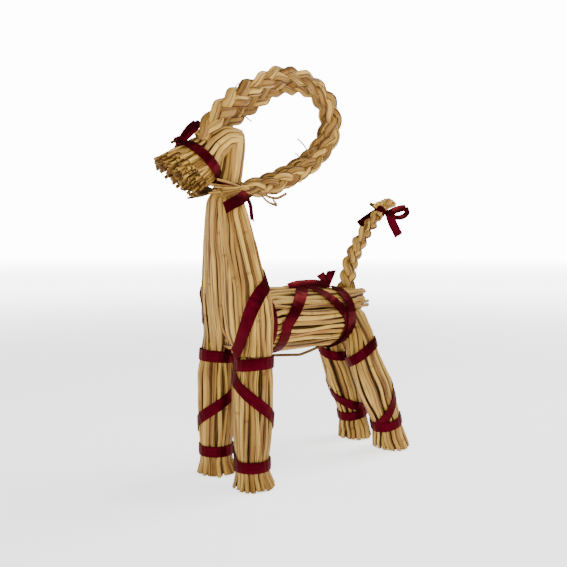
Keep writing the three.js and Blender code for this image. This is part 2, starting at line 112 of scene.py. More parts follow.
# A plait's stations are x, y, z and half width.
HORN_LEFT = [
    [9, -77, 326, 7.5], [11, -62, 348, 10], [12, -37, 368.5, 11], [12, -11, 385, 9.5],
    [12, 15.5, 398, 8.5], [12, 40, 399, 8.5], [12, 64, 393.5, 9], [12, 82, 380.5, 9.5],
    [12, 90.5, 361, 9.5], [12.5, 84, 339, 9.5], [13.5, 65, 319, 9], [15, 38, 302.5, 9],
    [17.5, 10, 291, 9], [20, -13, 284.5, 8.5], [22, -34, 282.5, 6.5], [21.5, -42, 282.5, 4],
]
HORN_RIGHT = [
    [-6, -74, 323, 7], [-9, -56, 335, 9], [-12, -36, 347, 9.5], [-12, -15, 360, 9],
    [-12, 5, 374, 9], [-12, 25, 387.5, 8.5], [-12, 44, 393, 8.5], [-12, 63, 396.5, 8.5],
    [-12, 81, 394, 9], [-12, 95, 385, 9.5], [-12, 102.5, 365, 9.5], [-12.5, 96, 343, 9.5],
    [-13.5, 76, 323, 9], [-15, 48, 306, 9], [-17.5, 18, 293, 9], [-20, -9, 285, 8.5],
    [-22, -32, 282.5, 6.5], [-21.5, -42, 282.5, 4],
]
TAIL = [
    [0, 122, 168, 10.5], [0, 124, 188, 10.5], [0, 129.5, 210, 10], [0, 143.5, 233, 9.3],
    [0, 158.5, 250, 8.2], [0, 173, 263.5, 7.2],
]
TUFT = [
    [0, 171, 261.5, 7, 6.4], [0, 176.6, 266.8, 5.7, 5.7], [0, 182.2, 273.6, 5.7, 5.7],
    [0, 185, 277.5, 9, 7], [0, 187.5, 282, 12.5, 8.5],
]
NECK_STANDING = 13  # the neck's first stations, which rise; after them it is folded forwards
NECK_SPANS = 17
MUZZLE_START = 15.15 / NECK_SPANS
MUZZLE_BAND = 15.55 / NECK_SPANS
MUZZLE_LENGTH = 26.8  # of the last span, which the cut ends are measured back from
TAIL_BAND = 1.15 / 4
TIE = 284  # the height of the ribbon that ties the horns
KNEE_TOP = 132  # the height at which the straws of a foreleg end inside the neck

GOLDEN_SHARE = 0.618
GOLDEN_ANGLE = 2.39996
PROUD = 0.9  # how far the outermost straws stand off the outline, in millimetres
DIVE = 3.2  # how far a straw without room slips under its neighbours
WIDTHS = (0.66, 1.12)  # a straw's width, as a share of the room that it has
FLATNESS = (0.58, 0.8)  # its thickness, as a share of its width
# How dark each straw is at random: partly its own tone, partly painted shade for the dark gaps between
# straws.
PAINTED_SHADE_RANGE = (0.72, 1.05)
UNDER_SHADE = 0.25  # painted shade of straws that show only between others
FOOT_SHADE = 0.75  # painted shade of the cut ends inside a foot
# painted shade of the dark plugs inside the bundles
CORE_SHADE = 0.15
CORE_INSET = -6.5
HOLLOW = np.array([0.6, 0.7, 0.7, 0.6])  # a cut straw's hole, from one bottom to the other
HOLE_DEPTH = 2.2 * MM
HOLE_SHADES = (0.2, 0.25, 0.8)  # painted shade in a cut straw's hole: at the middle of its bottom, at its bottom's edge and at its mouth
FLANK_SHADE = 0.15  # painted shade of a straw's flanks, against the middle of its outer side
CREASE_ANGLE = 0.4
FOOT_STEP = 1.6 * MM  # how much the cut ends on the ground differ
FOOT_DEPTHS = (7.2, 11, 15)  # of the layers inside a foot, in millimetres
GRID = 97  # rows and columns of a bundle's tables
SAMPLES_A_PERIOD = 22  # along a plait
SLANT = np.array([1, 0.6, 0.25])  # how a ribbon's slanted end dies away over its first rows
SHARP = np.radians(50)


def unit(vectors):
    """Vectors divided by their lengths."""
    return vectors / np.maximum(np.linalg.norm(vectors, axis=-1, keepdims=True), 1e-12)


def ease(value, low, high):
    """0 below low, 1 above high, and 3 t^2 - 2 t^3 between them."""
    t = np.clip((value - low) / (high - low), 0, 1)
    return t * t * (3 - 2 * t)


def placed(points):
    """Layout millimetres as frame metres."""
    return np.asarray(points, float) * MM + PLACE


def turned_over(stations):
    """The same stations on the other side of the goat's middle."""
    return [[-row[0], *row[1:]] for row in stations]


def ripple(rng, count, samples, waves):
    """For each row a sum of sines of random phase along it, between about -1 and 1."""
    t = np.linspace(0, 1, samples)
    total = np.zeros((count, samples))
    for wave in waves:
        total += np.sin(TURN * (wave * t + rng.random((count, 1)))) / len(waves)
    return total


def looked_up(table, spot):
    """A table's rows at a fractional place along it, evenly between the two nearest."""
    near = np.minimum(spot.astype(int), len(table) - 2)
    part = (spot - near)[..., None]
    return table[near] * (1 - part) + table[near + 1] * part


class Bundle:
    """A straw bundle's outline, which changes evenly from each station to the next. Its outside at u
    and an angle is middle + side (wide + lift) r(cos) + up (deep + lift) r(sin), where r(v) is v's
    sign times |v| ^ (2 / squareness)."""

    def __init__(self, stations, reference=(1, 0, 0)):
        plain = [0, 2]
        table = np.array([[*row, *plain[len(row) - 5 :]] for row in stations], float)
        table[:, :5] *= MM
        table[:, :3] += PLACE
        step = np.diff(table[:, :3], axis=0)
        root = np.linalg.norm(step, axis=1, keepdims=True) ** 0.5
        near, far = step[:-1], step[1:]
        inner = near / root[:-1] + far / root[1:] - (near + far) / (root[:-1] + root[1:])
        self.heading = unit(np.vstack([step[:1], inner, step[-1:]]))
        self.table = table
        self.reference = np.array(reference, float)
        self.measure()

    def section(self, u):
        """The station row, side and up directions at u."""
        spot = np.clip(np.asarray(u, float), 0, 1) * (len(self.table) - 1)
        row, along = looked_up(self.table, spot), unit(looked_up(self.heading, spot))
        side = unit(self.reference - along * (along @ self.reference)[..., None])
        up = np.cross(along, side)
        lean = np.radians(row[..., 5:6])
        return row, side, up * np.cos(lean) + np.cross(side, up) * np.sin(lean)

    def outside(self, u, angle, lift=0.0):
        """Points at u and angle, lifted off the outline by lift metres."""
        u, angle, lift = np.broadcast_arrays(u, angle, lift)
        row, side, up = self.section(u)
        power = 2 / row[..., 6]
        cos, sin = np.cos(angle), np.sin(angle)
        across = (row[..., 3] + lift) * np.sign(cos) * np.abs(cos) ** power
        above = (row[..., 4] + lift) * np.sign(sin) * np.abs(sin) ** power
        return row[..., :3] + side * across[..., None] + up * above[..., None]

    def within(self, u, share, angle):
        """Points inside the outline, at a share of the way from its middle."""
        row, side, up = self.section(u)
        across = row[..., 3] * share * np.cos(angle)
        above = row[..., 4] * share * np.sin(angle)
        return row[..., :3] + side * across[..., None] + up * above[..., None]

    def facing(self, u, angle):
        """Outward directions: the rate of change round the outline crossed with that along it."""
        turn, step = 0.03, 0.01
        round_it = self.outside(u, angle + turn) - self.outside(u, angle - turn)
        further, nearer = np.minimum(u + step, 1), np.maximum(u - step, 0)
        normal = unit(np.cross(round_it, self.outside(further, angle) - self.outside(nearer, angle)))
        away = self.outside(u, angle) - self.section(u)[0][..., :3]
        return normal * np.sign((normal * away).sum(-1, keepdims=True))

    def where(self, axis, value, last=None):
        """The u where the middle reaches a layout height or a place on an axis."""
        stations = self.table[:last, axis]
        knots = np.arange(len(stations)) / (len(self.table) - 1)
        return np.interp(np.asarray(value) * MM + PLACE[axis], stations, knots)

    def measure(self):
        """Tables of the girth at each u, and of the angles that are evenly spaced by girth."""
        self.grid = np.linspace(0, 1, GRID)
        angles = np.linspace(0, TURN, 145)
        line = self.outside(self.grid[:, None], angles[None, :])
        steps = np.linalg.norm(np.diff(line, axis=1), axis=2)
        lengths = np.hstack([np.zeros((len(self.grid), 1)), np.cumsum(steps, axis=1)])
        self.girth = lengths[:, -1]
        self.angles = np.array([np.interp(self.grid, row / row[-1], angles) for row in lengths])

    def angle(self, u, share):
        """The angle a share of the girth round from the side, looked up in the table both ways."""
        turns = np.floor(share)
        across, down = (share - turns) * (GRID - 1), np.clip(u, 0, 1) * (GRID - 1)
        col, row = (np.minimum(spot.astype(int), GRID - 2) for spot in (across, down))
        c, r = across - col, down - row
        table = self.angles
        near, far = (table[at, col] * (1 - c) + table[at, col + 1] * c for at in (row, row + 1))
        return near * (1 - r) + far * r + TURN * turns


class Straws:
    """Straws as paths, the ways their broad sides face, half widths and half thicknesses, tints and
    painted shade."""

    def __init__(self, paths, facing, wide, thick, tint, painted_shade=1.0):
        self.paths = paths
        self.facing = facing
        count, samples = paths.shape[:2]
        self.wide = np.broadcast_to(wide, (count, samples)).astype(float)
        self.thick = np.broadcast_to(thick, (count, samples)).astype(float)
        self.tint = np.broadcast_to(tint, count)
        painted_shade = painted_shade if np.ndim(painted_shade) == 2 else np.reshape(painted_shade, (-1, 1))
        self.painted_shade = np.broadcast_to(painted_shade, (count, samples)).astype(float)


def lay(shape, count, first, last, rng, size, depth=0.0, painted_shade=1.0, samples=40, wander=0.3, rough=0.45,
        dives=True):
    """Straws side by side round a bundle, from u first to u last. Each has a share of the girth, and
    where the bundle gets too thin for all, those of the highest rank slip under their neighbours."""
    rank = (np.arange(count) * GOLDEN_SHARE + rng.random() * 0.2) % 1
    first, last = np.broadcast_to(first, count), np.broadcast_to(last, count)
    u = first[:, None] + (last - first)[:, None] * np.linspace(0, 1, samples)
    pitch = size * MM
    room = np.clip(shape.girth / (count * pitch), 0, 1) if dives else np.ones(GRID)
    above = ease(room[None, :] - rank[:, None], -0.06, 0.08)
    weight = 0.1 + 0.9 * above
    share = (np.cumsum(weight, axis=0) - weight / 2) / weight.sum(axis=0)
    spot = u * (GRID - 1)
    near = np.minimum(spot.astype(int), GRID - 2)
    part = spot - near
    each = np.arange(count)[:, None]
    share, above = (table[each, near] * (1 - part) + table[each, near + 1] * part
                    for table in (share, above))
    share = share + wander / count * ripple(rng, count, samples, (0.7, 1.9))
    wide = pitch / 2 * rng.uniform(*WIDTHS, (count, 1))
    wide = wide * (1 + 0.08 * ripple(rng, count, samples, (3, 5)))
    thick = wide * rng.uniform(*FLATNESS, (count, 1))
    sunk = rough * MM * (1 + ripple(rng, count, samples, (1.1, 2.7)))
    sunk = sunk * rng.uniform(0.4, 1.6, (count, 1))
    lift = (PROUD - depth) * MM - thick - sunk - (1 - above) * DIVE * MM
    angle = shape.angle(u, share)
    straws = Straws(shape.outside(u, angle, lift), shape.facing(u, angle), wide, thick,
                    rng.random(count), painted_shade * rng.uniform(*PAINTED_SHADE_RANGE, count))
    straws.lift = lift
    return straws


def mirrored(straws):
    """The same straws on the other side of the goat's middle."""
    flip = np.array([-1, 1, 1])
    middle = np.array([2 * PLACE[0], 0, 0])
    return Straws(straws.paths * flip + middle, straws.facing * flip, straws.wide, straws.thick,
                  straws.tint[::-1], straws.painted_shade)


def through(points, samples):
    """Even steps along the centripetal Catmull-Rom curve through points, with any further columns
    carried along. Each span is a cubic with the end slopes of that curve."""
    points = np.asarray(points, float)
    padded = np.vstack([2 * points[0] - points[1], points, 2 * points[-1] - points[-2]])
    root = np.linalg.norm(np.diff(padded[:, :3], axis=0), axis=1, keepdims=True) ** 0.5
    t = np.linspace(0, 1, 24, endpoint=False)[:, None]
    spans = []
    for i in range(len(points) - 1):
        before, near, far, after = padded[i : i + 4]
        a, b, c = root[i : i + 3, 0]
        slope_near = ((near - before) / a - (far - before) / (a + b) + (far - near) / b) * b
        slope_far = ((far - near) / b - (after - near) / (b + c) + (after - far) / c) * b
        spans.append((2 * t**3 - 3 * t**2 + 1) * near + (t**3 - 2 * t**2 + t) * slope_near
                     + (3 * t**2 - 2 * t**3) * far + (t**3 - t**2) * slope_far)
    dense = np.vstack([*spans, points[-1:]])
    length = np.concatenate([[0], np.cumsum(np.linalg.norm(np.diff(dense[:, :3], axis=0), axis=1))])
    even = np.linspace(0, length[-1], samples)
    return np.column_stack([np.interp(even, length, column) for column in dense.T]), even


def stalk(points, facing, wide, thick, tint, painted_shade=1.0, samples=24):
    """One loose straw through layout points, with its half sizes in millimetres."""
    path, _ = through(points, samples)
    paths = placed(path)[None]
    ways = np.broadcast_to(unit(np.array(facing, float)), paths.shape)
    return Straws(paths, ways, wide * MM, thick * MM, tint, painted_shade)


def plait(stations, rng, period):
    """A flat plait of three strands a third of a turn apart, each a ring of four flattened straws, its
    leaves. A strand swings across the plait as sin(a) - sin(3a) / 9 and in and out as sin(2a)."""
    swing, weave, leaves = 0.5, 0.27, 4
    seat_across, seat_out, leaf_thick = 0.34, 0.24, 0.11
    length = np.linalg.norm(np.diff(np.array(stations)[:, :3], axis=0), axis=1).sum()
    samples = int(length / period * SAMPLES_A_PERIOD)
    path, run = through(stations, samples)
    middle, half = placed(path[:, :3]), path[:, 3:] * MM
    along = unit(np.gradient(middle, axis=0))
    out = unit(np.array([1.0, 0, 0]) - along * along[:, :1])
    side = np.cross(out, along)
    parts = []
    for strand in range(3):
        a = (TURN * run / period + strand * TURN / 3)[:, None]
        heart = middle + side * swing * half * (np.sin(a) - np.sin(3 * a) / 9)
        heart = heart + out * weave * half * np.sin(2 * a)
        heading = unit(np.gradient(heart, axis=0))
        flat = unit(out - heading * (out * heading).sum(1, keepdims=True))
        across = np.cross(heading, flat)
        twist = rng.random() * TURN + 0.5 * ripple(rng, 1, samples, (1.7, 4.1)).T
        for leaf in range(leaves):
            turn = TURN * leaf / leaves + twist
            swell = 1 + 0.1 * ripple(rng, 1, samples, (5, 9)).T
            seat = across * seat_across * half * np.cos(turn) + flat * seat_out * half * np.sin(turn)
            way = across * np.cos(turn) * 0.75 + flat * np.sin(turn)
            broad = rng.uniform(0.28, 0.42)
            # Each leaf gets a random painted shade, the darker leaves standing for the shade among the
            # plait's leaves.
            parts.append(Straws((heart + seat * swell)[None], unit(way)[None], (broad * half * swell).T,
                                (leaf_thick * half * swell).T, rng.random(), rng.uniform(0.5, 1)))
    return parts


def strays(stations, rng, count):
    """Thin broken ends that stand off a plait. Each points along it, either way, and outwards."""
    path, _ = through(stations, 200)
    made = []
    for spot in rng.integers(10, 185, count):
        along = unit(path[spot + 5, :3] - path[spot, :3]) * rng.choice([-1, 1])
        way = rng.standard_normal(3)
        way = unit(way - along * (way @ along))
        start = path[spot, :3] + way * path[spot, 3] * 0.72
        tip = start + along * rng.uniform(5, 13) + way * rng.uniform(1, 3.5)
        made.append(stalk([start, (start + tip) / 2 + way * 0.6, tip], way, rng.uniform(0.4, 0.9), 0.3,
                          rng.random(), 0.75, samples=6))
    return made


def ladder(rings, sides, joined=False):
    """Faces between rings of points: from a point to its neighbour, then to the next ring, and back."""
    ring = np.arange(rings if joined else rings - 1)[:, None]
    here, above = ring * sides, (ring + 1) % rings * sides
    k = np.arange(sides)[None, :]
    after = (k + 1) % sides
    return np.stack([here + k, here + after, above + after, above + k], -1)


def caps(rings, sides):
    """Fans that close the first and the last ring, from two middle points that follow the rings."""
    k = np.arange(sides)
    after, top, middle = (k + 1) % sides, (rings - 1) * sides, np.full(sides, rings * sides)
    return np.concatenate([np.stack([middle, after, k], -1),
                           np.stack([middle + 1, top + k, top + after], -1)])


class Pile:
    """Collects closed shells and makes them one mesh. Every shell carries a tint, a painted shade and a
    map: u is a share of the way round it or across it, and v runs along it in metres."""

    def __init__(self):
        self.shells = []
        self.total = 0

    def shell(self, points, quads, quad_map, fans=np.zeros((0, 3), int), tint=0.5, painted_shade=1.0):
        """Adds the points and faces of some shells, counted from this pile's next point."""
        self.shells.append([points, quads + self.total, quad_map, fans + self.total,
                            np.broadcast_to(tint, len(points)), np.broadcast_to(painted_shade, len(points))])
        self.total += len(points)

    def straws(self, *sets, sides=9, floor=None, crease=0.2):
        """Tubes: each point is path + across wide cos a + facing thick sin a, less a crease along one
        side. Their cut ends are hollow, and painted shade darkens their flanks and holes. floor lifts
        what would reach below it, in metres."""
        for s in sets:
            count, samples = s.paths.shape[:2]
            along = unit(np.gradient(s.paths, axis=1))
            facing = unit(s.facing - along * (s.facing * along).sum(-1, keepdims=True))
            across = np.cross(along, facing)
            a = TURN * np.arange(sides) / sides
            rng = np.random.default_rng(count * samples)
            fold = (a[None, :] - rng.random((count, 1)) * TURN + np.pi) % TURN - np.pi
            form = 1 - crease * np.exp(-((fold / CREASE_ANGLE) ** 2))
            cos, sin = np.cos(a) * form, np.sin(a) * form
            rims = (across * s.wide[..., None])[:, :, None] * cos[:, None, :, None]
            rims = rims + (facing * s.thick[..., None])[:, :, None] * sin[:, None, :, None]
            ends = s.paths[:, [0, 0, -1, -1]]
            ends[:, 0] += along[:, 0] * HOLE_DEPTH
            ends[:, 3] -= along[:, -1] * HOLE_DEPTH
            centres = np.concatenate([ends[:, :2], s.paths, ends[:, 2:]], axis=1)
            holes = rims[:, [0, 0, -1, -1]] * HOLLOW[:, None, None]
            rims = np.concatenate([holes[:, :2], rims, holes[:, 2:]], axis=1)
            rings = samples + 4
            points = (centres[:, :, None] + rims).reshape(count, rings * sides, 3)
            points = np.concatenate([points, ends[:, [0, 3]]], axis=1)
            if floor is not None:
                points[..., 2] = np.maximum(points[..., 2], floor + rng.random((count, 1)) * FOOT_STEP)
            base = (np.arange(count) * (rings * sides + 2))[:, None, None]
            quads = ladder(rings, sides)[..., [0, 3, 2, 1]].reshape(1, -1, 4) + base
            fans = caps(rings, sides)[:, [0, 2, 1]][None] + base
            length = np.cumsum(np.linalg.norm(np.diff(s.paths, axis=1), axis=2), axis=1)
            length = np.pad(length, ((0, 0), (3, 2)), mode="edge")
            length[:, :3] = 0
            near, far = length[:, :-1, None], length[:, 1:, None]
            k = np.arange(sides)
            u, v = np.broadcast_arrays(np.stack([k, k, k + 1, k + 1], -1) / sides,
                                       np.stack([near, far, far, near], -1))
            # Painted shade on each straw: its own, darker down the holes of its cut ends and darkest on
            # its flanks.
            dim = np.pad(s.painted_shade, ((0, 0), (2, 2)), mode="edge")
            dim[:, [0, -1]] *= HOLE_SHADES[1]
            dim[:, [1, -2]] *= HOLE_SHADES[2]
            painted_flank_shade = FLANK_SHADE + (1 - FLANK_SHADE) * ease(np.sin(a), -0.25, 0.65)
            painted_shade = (dim[:, :, None] * painted_flank_shade).reshape(count, -1)
            painted_shade = np.concatenate([painted_shade, HOLE_SHADES[0] * s.painted_shade[:, [0, -1]]], axis=1).ravel()
            quad_map = np.stack([u, v], -1).reshape(-1, 4, 2)
            self.shell(points.reshape(-1, 3), quads.reshape(-1, 4), quad_map, fans.reshape(-1, 3),
                       np.repeat(s.tint, rings * sides + 2), painted_shade)

    def core(self, shape, first, last, lift=CORE_INSET, rings=40, painted_shade=CORE_SHADE):
        """A closed plug inside a bundle, darkened by painted shade, so that no light shows between the
        straws.
        """
        sides = 28
        u = np.linspace(first, last, rings)[:, None]
        a = (TURN * np.arange(sides) / sides)[None, :]
        ends = shape.section(np.array([first, last]))[0][:, :3]
        points = np.vstack([shape.outside(u, a, lift * MM).reshape(-1, 3), ends])
        quads = ladder(rings, sides).reshape(-1, 4)
        self.shell(points, quads, np.zeros((len(quads), 4, 2)), caps(rings, sides), painted_shade=painted_shade)

    def strip(self, path, facing, width, joined=False, thick=0.45, cup=0.25, skew=(0, 0)):
        """A ribbon: each point is path + edge w width + facing (cup (1 - 4 w^2) + thick or 0), with w
        from -1/2 to 1/2. skew slants its two cut ends."""
        columns, rows = 7, len(path)
        along = np.gradient(path, axis=0)
        if joined:
            along = np.roll(path, -1, axis=0) - np.roll(path, 1, axis=0)
        along = unit(along)
        edge = unit(np.cross(facing, along))
        up = np.cross(along, edge)
        w = np.linspace(-0.5, 0.5, columns)[None, :, None]
        slant = np.zeros(rows)
        slant[:3] = skew[0] * SLANT
        slant[-3:] = skew[1] * SLANT[::-1]
        bottom = path[:, None] + edge[:, None] * w * width * MM
        bottom = bottom + up[:, None] * cup * MM * (1 - 4 * w**2)
        bottom = bottom + along[:, None] * w * slant[:, None, None] * MM
        top = bottom + up[:, None] * thick * MM
        points = np.concatenate([bottom, top[:, ::-1]], axis=1).reshape(-1, 3)
        sides = 2 * columns
        quads = ladder(rows, sides, joined)
        length = np.concatenate([[0], np.cumsum(np.linalg.norm(np.diff(path, axis=0), axis=1))])
        length = np.append(length, length[-1] + np.linalg.norm(path[-1] - path[0]))
        near, far = length[: len(quads), None], length[1 : len(quads) + 1, None]
        here = np.concatenate([np.linspace(0, 1, columns), np.linspace(1, 0, columns)])[None, :]
        after = np.roll(here, -1)
        u, v = np.broadcast_arrays(np.stack([here, after, after, here], -1),
                                   np.stack([near, near, far, far], -1))
        quads, quad_map = quads.reshape(-1, 4), np.stack([u, v], -1).reshape(-1, 4, 2)
        if not joined:
            j = np.arange(columns - 1)
            ends = np.stack([j, sides - 1 - j, sides - 2 - j, j + 1], -1)
            quads = np.concatenate([quads, ends, (rows - 1) * sides + ends[:, ::-1]])
            quad_map = np.concatenate([quad_map, np.zeros((2 * len(ends), 4, 2))])
        self.shell(points, quads, quad_map)

    def mirror(self):
        """Turns everything in the pile over to the other side of the goat's middle."""
        for shell in self.shells:
            shell[0][:, 0] = 2 * PLACE[0] - shell[0][:, 0]
            shell[1], shell[2] = shell[1][:, ::-1], shell[2][:, ::-1]

    def piece(self, name, node, slot, material):
        """Makes the mesh object, which stands for a node of the frame."""
        points, quads, quad_map, fans, tint, painted_shade = map(np.concatenate, zip(*self.shells))
        loops = np.concatenate([quads.ravel(), fans.ravel()])
        starts = np.concatenate([np.arange(len(quads)) * 4, quads.size + np.arange(len(fans)) * 3])
        where = np.concatenate([quad_map.reshape(-1, 2), np.zeros((fans.size, 2))])
        mesh = bpy.data.meshes.new(name)
        mesh.vertices.add(len(points))
        mesh.vertices.foreach_set("co", points.astype(np.float32).ravel())
        mesh.loops.add(len(loops))
        mesh.loops.foreach_set("vertex_index", loops.astype(np.int32))
        mesh.polygons.add(len(starts))
        mesh.polygons.foreach_set("loop_start", starts.astype(np.int32))
        mesh.update(calc_edges=True)
        mesh.uv_layers.new(name="along").data.foreach_set("uv", where.astype(np.float32).ravel())
        for title, values in (("tint", tint), ("painted_shade", painted_shade)):
            attribute = mesh.attributes.new(title, "FLOAT", "POINT")
            attribute.data.foreach_set("value", values.astype(np.float32))
        mesh.validate()
        mesh.shade_smooth()
        mesh.set_sharp_from_angle(angle=SHARP)
        mesh.materials.append(material)
        made = bpy.data.objects.new(name, mesh)
        bpy.context.scene.collection.objects.link(made)
        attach(made, "root")
        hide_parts(node)


# ---- finishes -----------------------------------------------------------------------------------

# How often a finish's noise changes round a straw or across a ribbon, in a metre along it, and from one
# tint to the next, with the noise's detail and roughness.
STRAW_FIBRES = (26.0, 22.0, 61.0, 4.0, 0.6)
STRAW_PATCHES = (1.6, 24.0, 47.0, 2.0, 0.5)
STRAW_SLITS = (9.0, 9.0, 83.0, 1.0, 0.5)
STRAW_FLECKS = (7.0, 190.0, 29.0, 1.0, 0.5)
SATIN_THREADS = (120.0, 60.0, 9.0, 2.0, 0.5)
SATIN_WEFT = (3.0, 2600.0, 5.0, 1.0, 0.5)
SATIN_WEAR = (2.0, 60.0, 31.0, 3.0, 0.5)
JOINTS = (5.2, 9.0)  # a straw's joints in a metre, and how far they differ from one tint to the next
PAINTED_SHADE_COLOUR = (0.1, 0.045, 0.012, 1)  # the colour of the deepest painted shade: what a straw's colour is multiplied by where its painted shade is 0
STRAW_RELIEF = 0.00022
SATIN_RELIEF = 0.00006


class Number:
    """A socket that carries a number. Arithmetic on it adds Math nodes."""

    def __init__(self, finish, socket):
        self.finish = finish
        self.socket = socket

    def math(self, operation, *terms):
        """A Math node that works on the terms."""
        return self.finish.node("ShaderNodeMath", {"operation": operation}, dict(enumerate(terms)))

    def __add__(self, other):
        return self.math("ADD", self, other)

    def __sub__(self, other):
        return self.math("SUBTRACT", self, other)

    def __rsub__(self, other):
        return self.math("SUBTRACT", other, self)

    def __mul__(self, other):
        return self.math("MULTIPLY", self, other)

    __radd__, __rmul__ = __add__, __mul__

    def between(self, low, high):
        """0 below low, 1 above high, eased between them."""
        return self.finish.node("ShaderNodeMapRange", {"interpolation_type": "SMOOTHSTEP"},
                                {0: self, 1: low, 2: high, 3: 0.0, 4: 1.0})

    def fraction(self):
        """What is left after the whole number."""
        return self.math("FRACT", self)

    def size(self):
        """Without its sign."""
        return self.math("ABSOLUTE", self)


class Finish:
    """A material made of nodes."""

    def __init__(self, name):
        self.material = bpy.data.materials.new(name)
        self.material.use_nodes = True
        self.tree = self.material.node_tree
        self.tree.nodes.clear()

    def node(self, kind, settings=None, sockets=None, output=0):
        """Adds a node, applies its settings, fills its sockets, and returns one of its outputs."""
        node = self.tree.nodes.new(kind)
        for key, value in (settings or {}).items():
            setattr(node, key, value)
        for key, value in (sockets or {}).items():
            if isinstance(value, Number):
                self.tree.links.new(value.socket, node.inputs[key])
            else:
                node.inputs[key].default_value = value
        return Number(self, node.outputs[output])

    def blend(self, share, first, second, how="MIX"):
        """Mixes two colours."""
        return self.node("ShaderNodeMix", {"data_type": "RGBA", "blend_type": how},
                         {0: share, 6: first, 7: second}, output=2)

    def attribute(self, name):
        """A number kept on the mesh."""
        return self.node("ShaderNodeAttribute", {"attribute_name": name}, output=2)

    def along(self):
        """The piece's map: u round or across it, v along it in metres."""
        place = self.node("ShaderNodeUVMap", {"uv_map": "along"})
        u = self.node("ShaderNodeSeparateXYZ", None, {0: place})
        return u, Number(self, u.socket.node.outputs[1])

    def noise(self, u, v, tint, grain):
        """Noise between about 0 and 1, stretched by the grain."""
        across, along, apart, detail, rough = grain
        place = self.node("ShaderNodeCombineXYZ", None, {0: u * across, 1: v * along, 2: tint * apart})
        return self.node("ShaderNodeTexNoise", None,
                         {"Vector": place, "Scale": 1.0, "Detail": detail, "Roughness": rough})

    def surface(self, colour, roughness, height, distance, constants):
        """The shader: colour and roughness vary, height is a bump, constants are set on its sockets."""
        normal = self.node("ShaderNodeBump", None,
                           {"Strength": 1.0, "Distance": distance, "Height": height})
        return self.finished({"Base Color": colour, "Roughness": roughness, "Normal": normal,
                              **constants})

    def finished(self, sockets):
        """Makes the shader, connects it to the material's output, and returns the material."""
        shader = self.node("ShaderNodeBsdfPrincipled", None, sockets)
        out = self.tree.nodes.new("ShaderNodeOutputMaterial")
        self.tree.links.new(shader.socket, out.inputs[0])
        return self.material


def straw_finish(pale, golden, brown):
    """Dry straw: fine fibres, paler and warmer stalks, and brown cracks, flecks and joints, all
    darkened by the painted shade kept on the mesh.
    """
    f = Finish("dry_straw")
    u, v = f.along()
    tint, painted_shade = f.attribute("tint"), f.attribute("painted_shade")
    fibres, patches, slits, flecks = (f.noise(u, v, tint, grain) for grain in (
        STRAW_FIBRES, STRAW_PATCHES, STRAW_SLITS, STRAW_FLECKS))
    cracks = slits.between(0.58, 0.66) * 0.85
    spots = flecks.between(0.74, 0.8) * 0.65
    per_metre, apart = JOINTS
    ring = 1.0 - ((v * per_metre + tint * apart).fraction() - 0.5).size().between(0.002, 0.012)
    colour = f.blend(tint.between(0.25, 0.85) * 0.6 + patches.between(0.42, 0.68) * 0.4, pale, golden)
    for share in (fibres.between(0.45, 0.72) * 0.7, cracks, spots, ring * 0.4):
        colour = f.blend(share, colour, brown)
    # Painted shade: the colour is multiplied towards the darkest painted-shade colour as the mesh's
    # painted shade falls to 0.
    colour = f.blend(1.0, colour, f.blend(1.0 - painted_shade, (1, 1, 1, 1), PAINTED_SHADE_COLOUR), "MULTIPLY")
    return f.surface(colour, 0.42 + fibres * 0.3, fibres - cracks * 1.5 + ring * 0.8, STRAW_RELIEF,
                     {"Specular IOR Level": 0.2})


def satin_finish(colour, deep):
    """Satin ribbon: a tinted gloss, threads along and across, and a firm edge."""
    f = Finish("burgundy_satin")
    u, v = f.along()
    tint = f.attribute("tint")
    threads, weft, wear = (
        f.noise(u, v, tint, grain) for grain in (SATIN_THREADS, SATIN_WEFT, SATIN_WEAR))
    edge = (u - 0.5).size().between(0.455, 0.48)
    for share in (wear.between(0.35, 0.7) * 0.6, edge * 0.5, threads.between(0.4, 0.7) * 0.18):
        colour = f.blend(share, colour, deep)
    return f.surface(colour, 0.3 + threads * 0.12 + edge * 0.12,
                     threads * 0.5 + weft * 0.4 - edge * 0.8, SATIN_RELIEF,
                     {"Metallic": 0.7, "Specular IOR Level": 0.15,
                      "Specular Tint": (0.5, 0.03, 0.06, 1)})


# ---- settings -----------------------------------------------------------------------------------


def colour_setting(name, description, default):
    """A colour that a user may change."""
    return bpy.props.FloatVectorProperty(name=name, description=description, subtype="COLOR", size=4,
                                         min=0, max=1, default=default)


class StrawSettings(bpy.types.PropertyGroup):
    """Sizes and colours of the straw."""

    width: bpy.props.FloatProperty(
        name="Straw width", description="Width of a straw in the bundles, in millimetres", default=5.7,
        min=3, max=9)
    pale: colour_setting("Pale straw", "Colour of the palest straws", (0.57, 0.34, 0.069, 1))
    golden: colour_setting("Golden straw", "Colour of the warmest straws", (0.25, 0.105, 0.014, 1))
    brown: colour_setting("Straw brown", "Colour of cracks, flecks and joints", (0.05, 0.014, 0.002, 1))


class RibbonSettings(bpy.types.PropertyGroup):
    """Sizes and colours of the satin ribbon."""

    width: bpy.props.FloatProperty(
        name="Ribbon width", description="Width of the satin ribbon, in millimetres", default=10.5,
        min=5, max=16)
    colour: colour_setting("Satin", "Colour of the satin", (0.052, 0.0014, 0.0055, 1))
    deep: colour_setting("Satin folds", "Colour of its worn places and edges",
                         (0.025, 0.0003, 0.0018, 1))


class StageSettings(bpy.types.PropertyGroup):
    """The floor, the lights and the camera."""

    floor: colour_setting("Floor", "Colour of the floor", (0.9, 0.9, 0.9, 1))
    key: bpy.props.FloatProperty(
        name="Key light", description="Power of the main light, in watts", default=11, min=0,
        unit="POWER")
    lens: bpy.props.FloatProperty(
        name="Lens", description="Focal length of the camera, in millimetres", default=44.44, min=20)


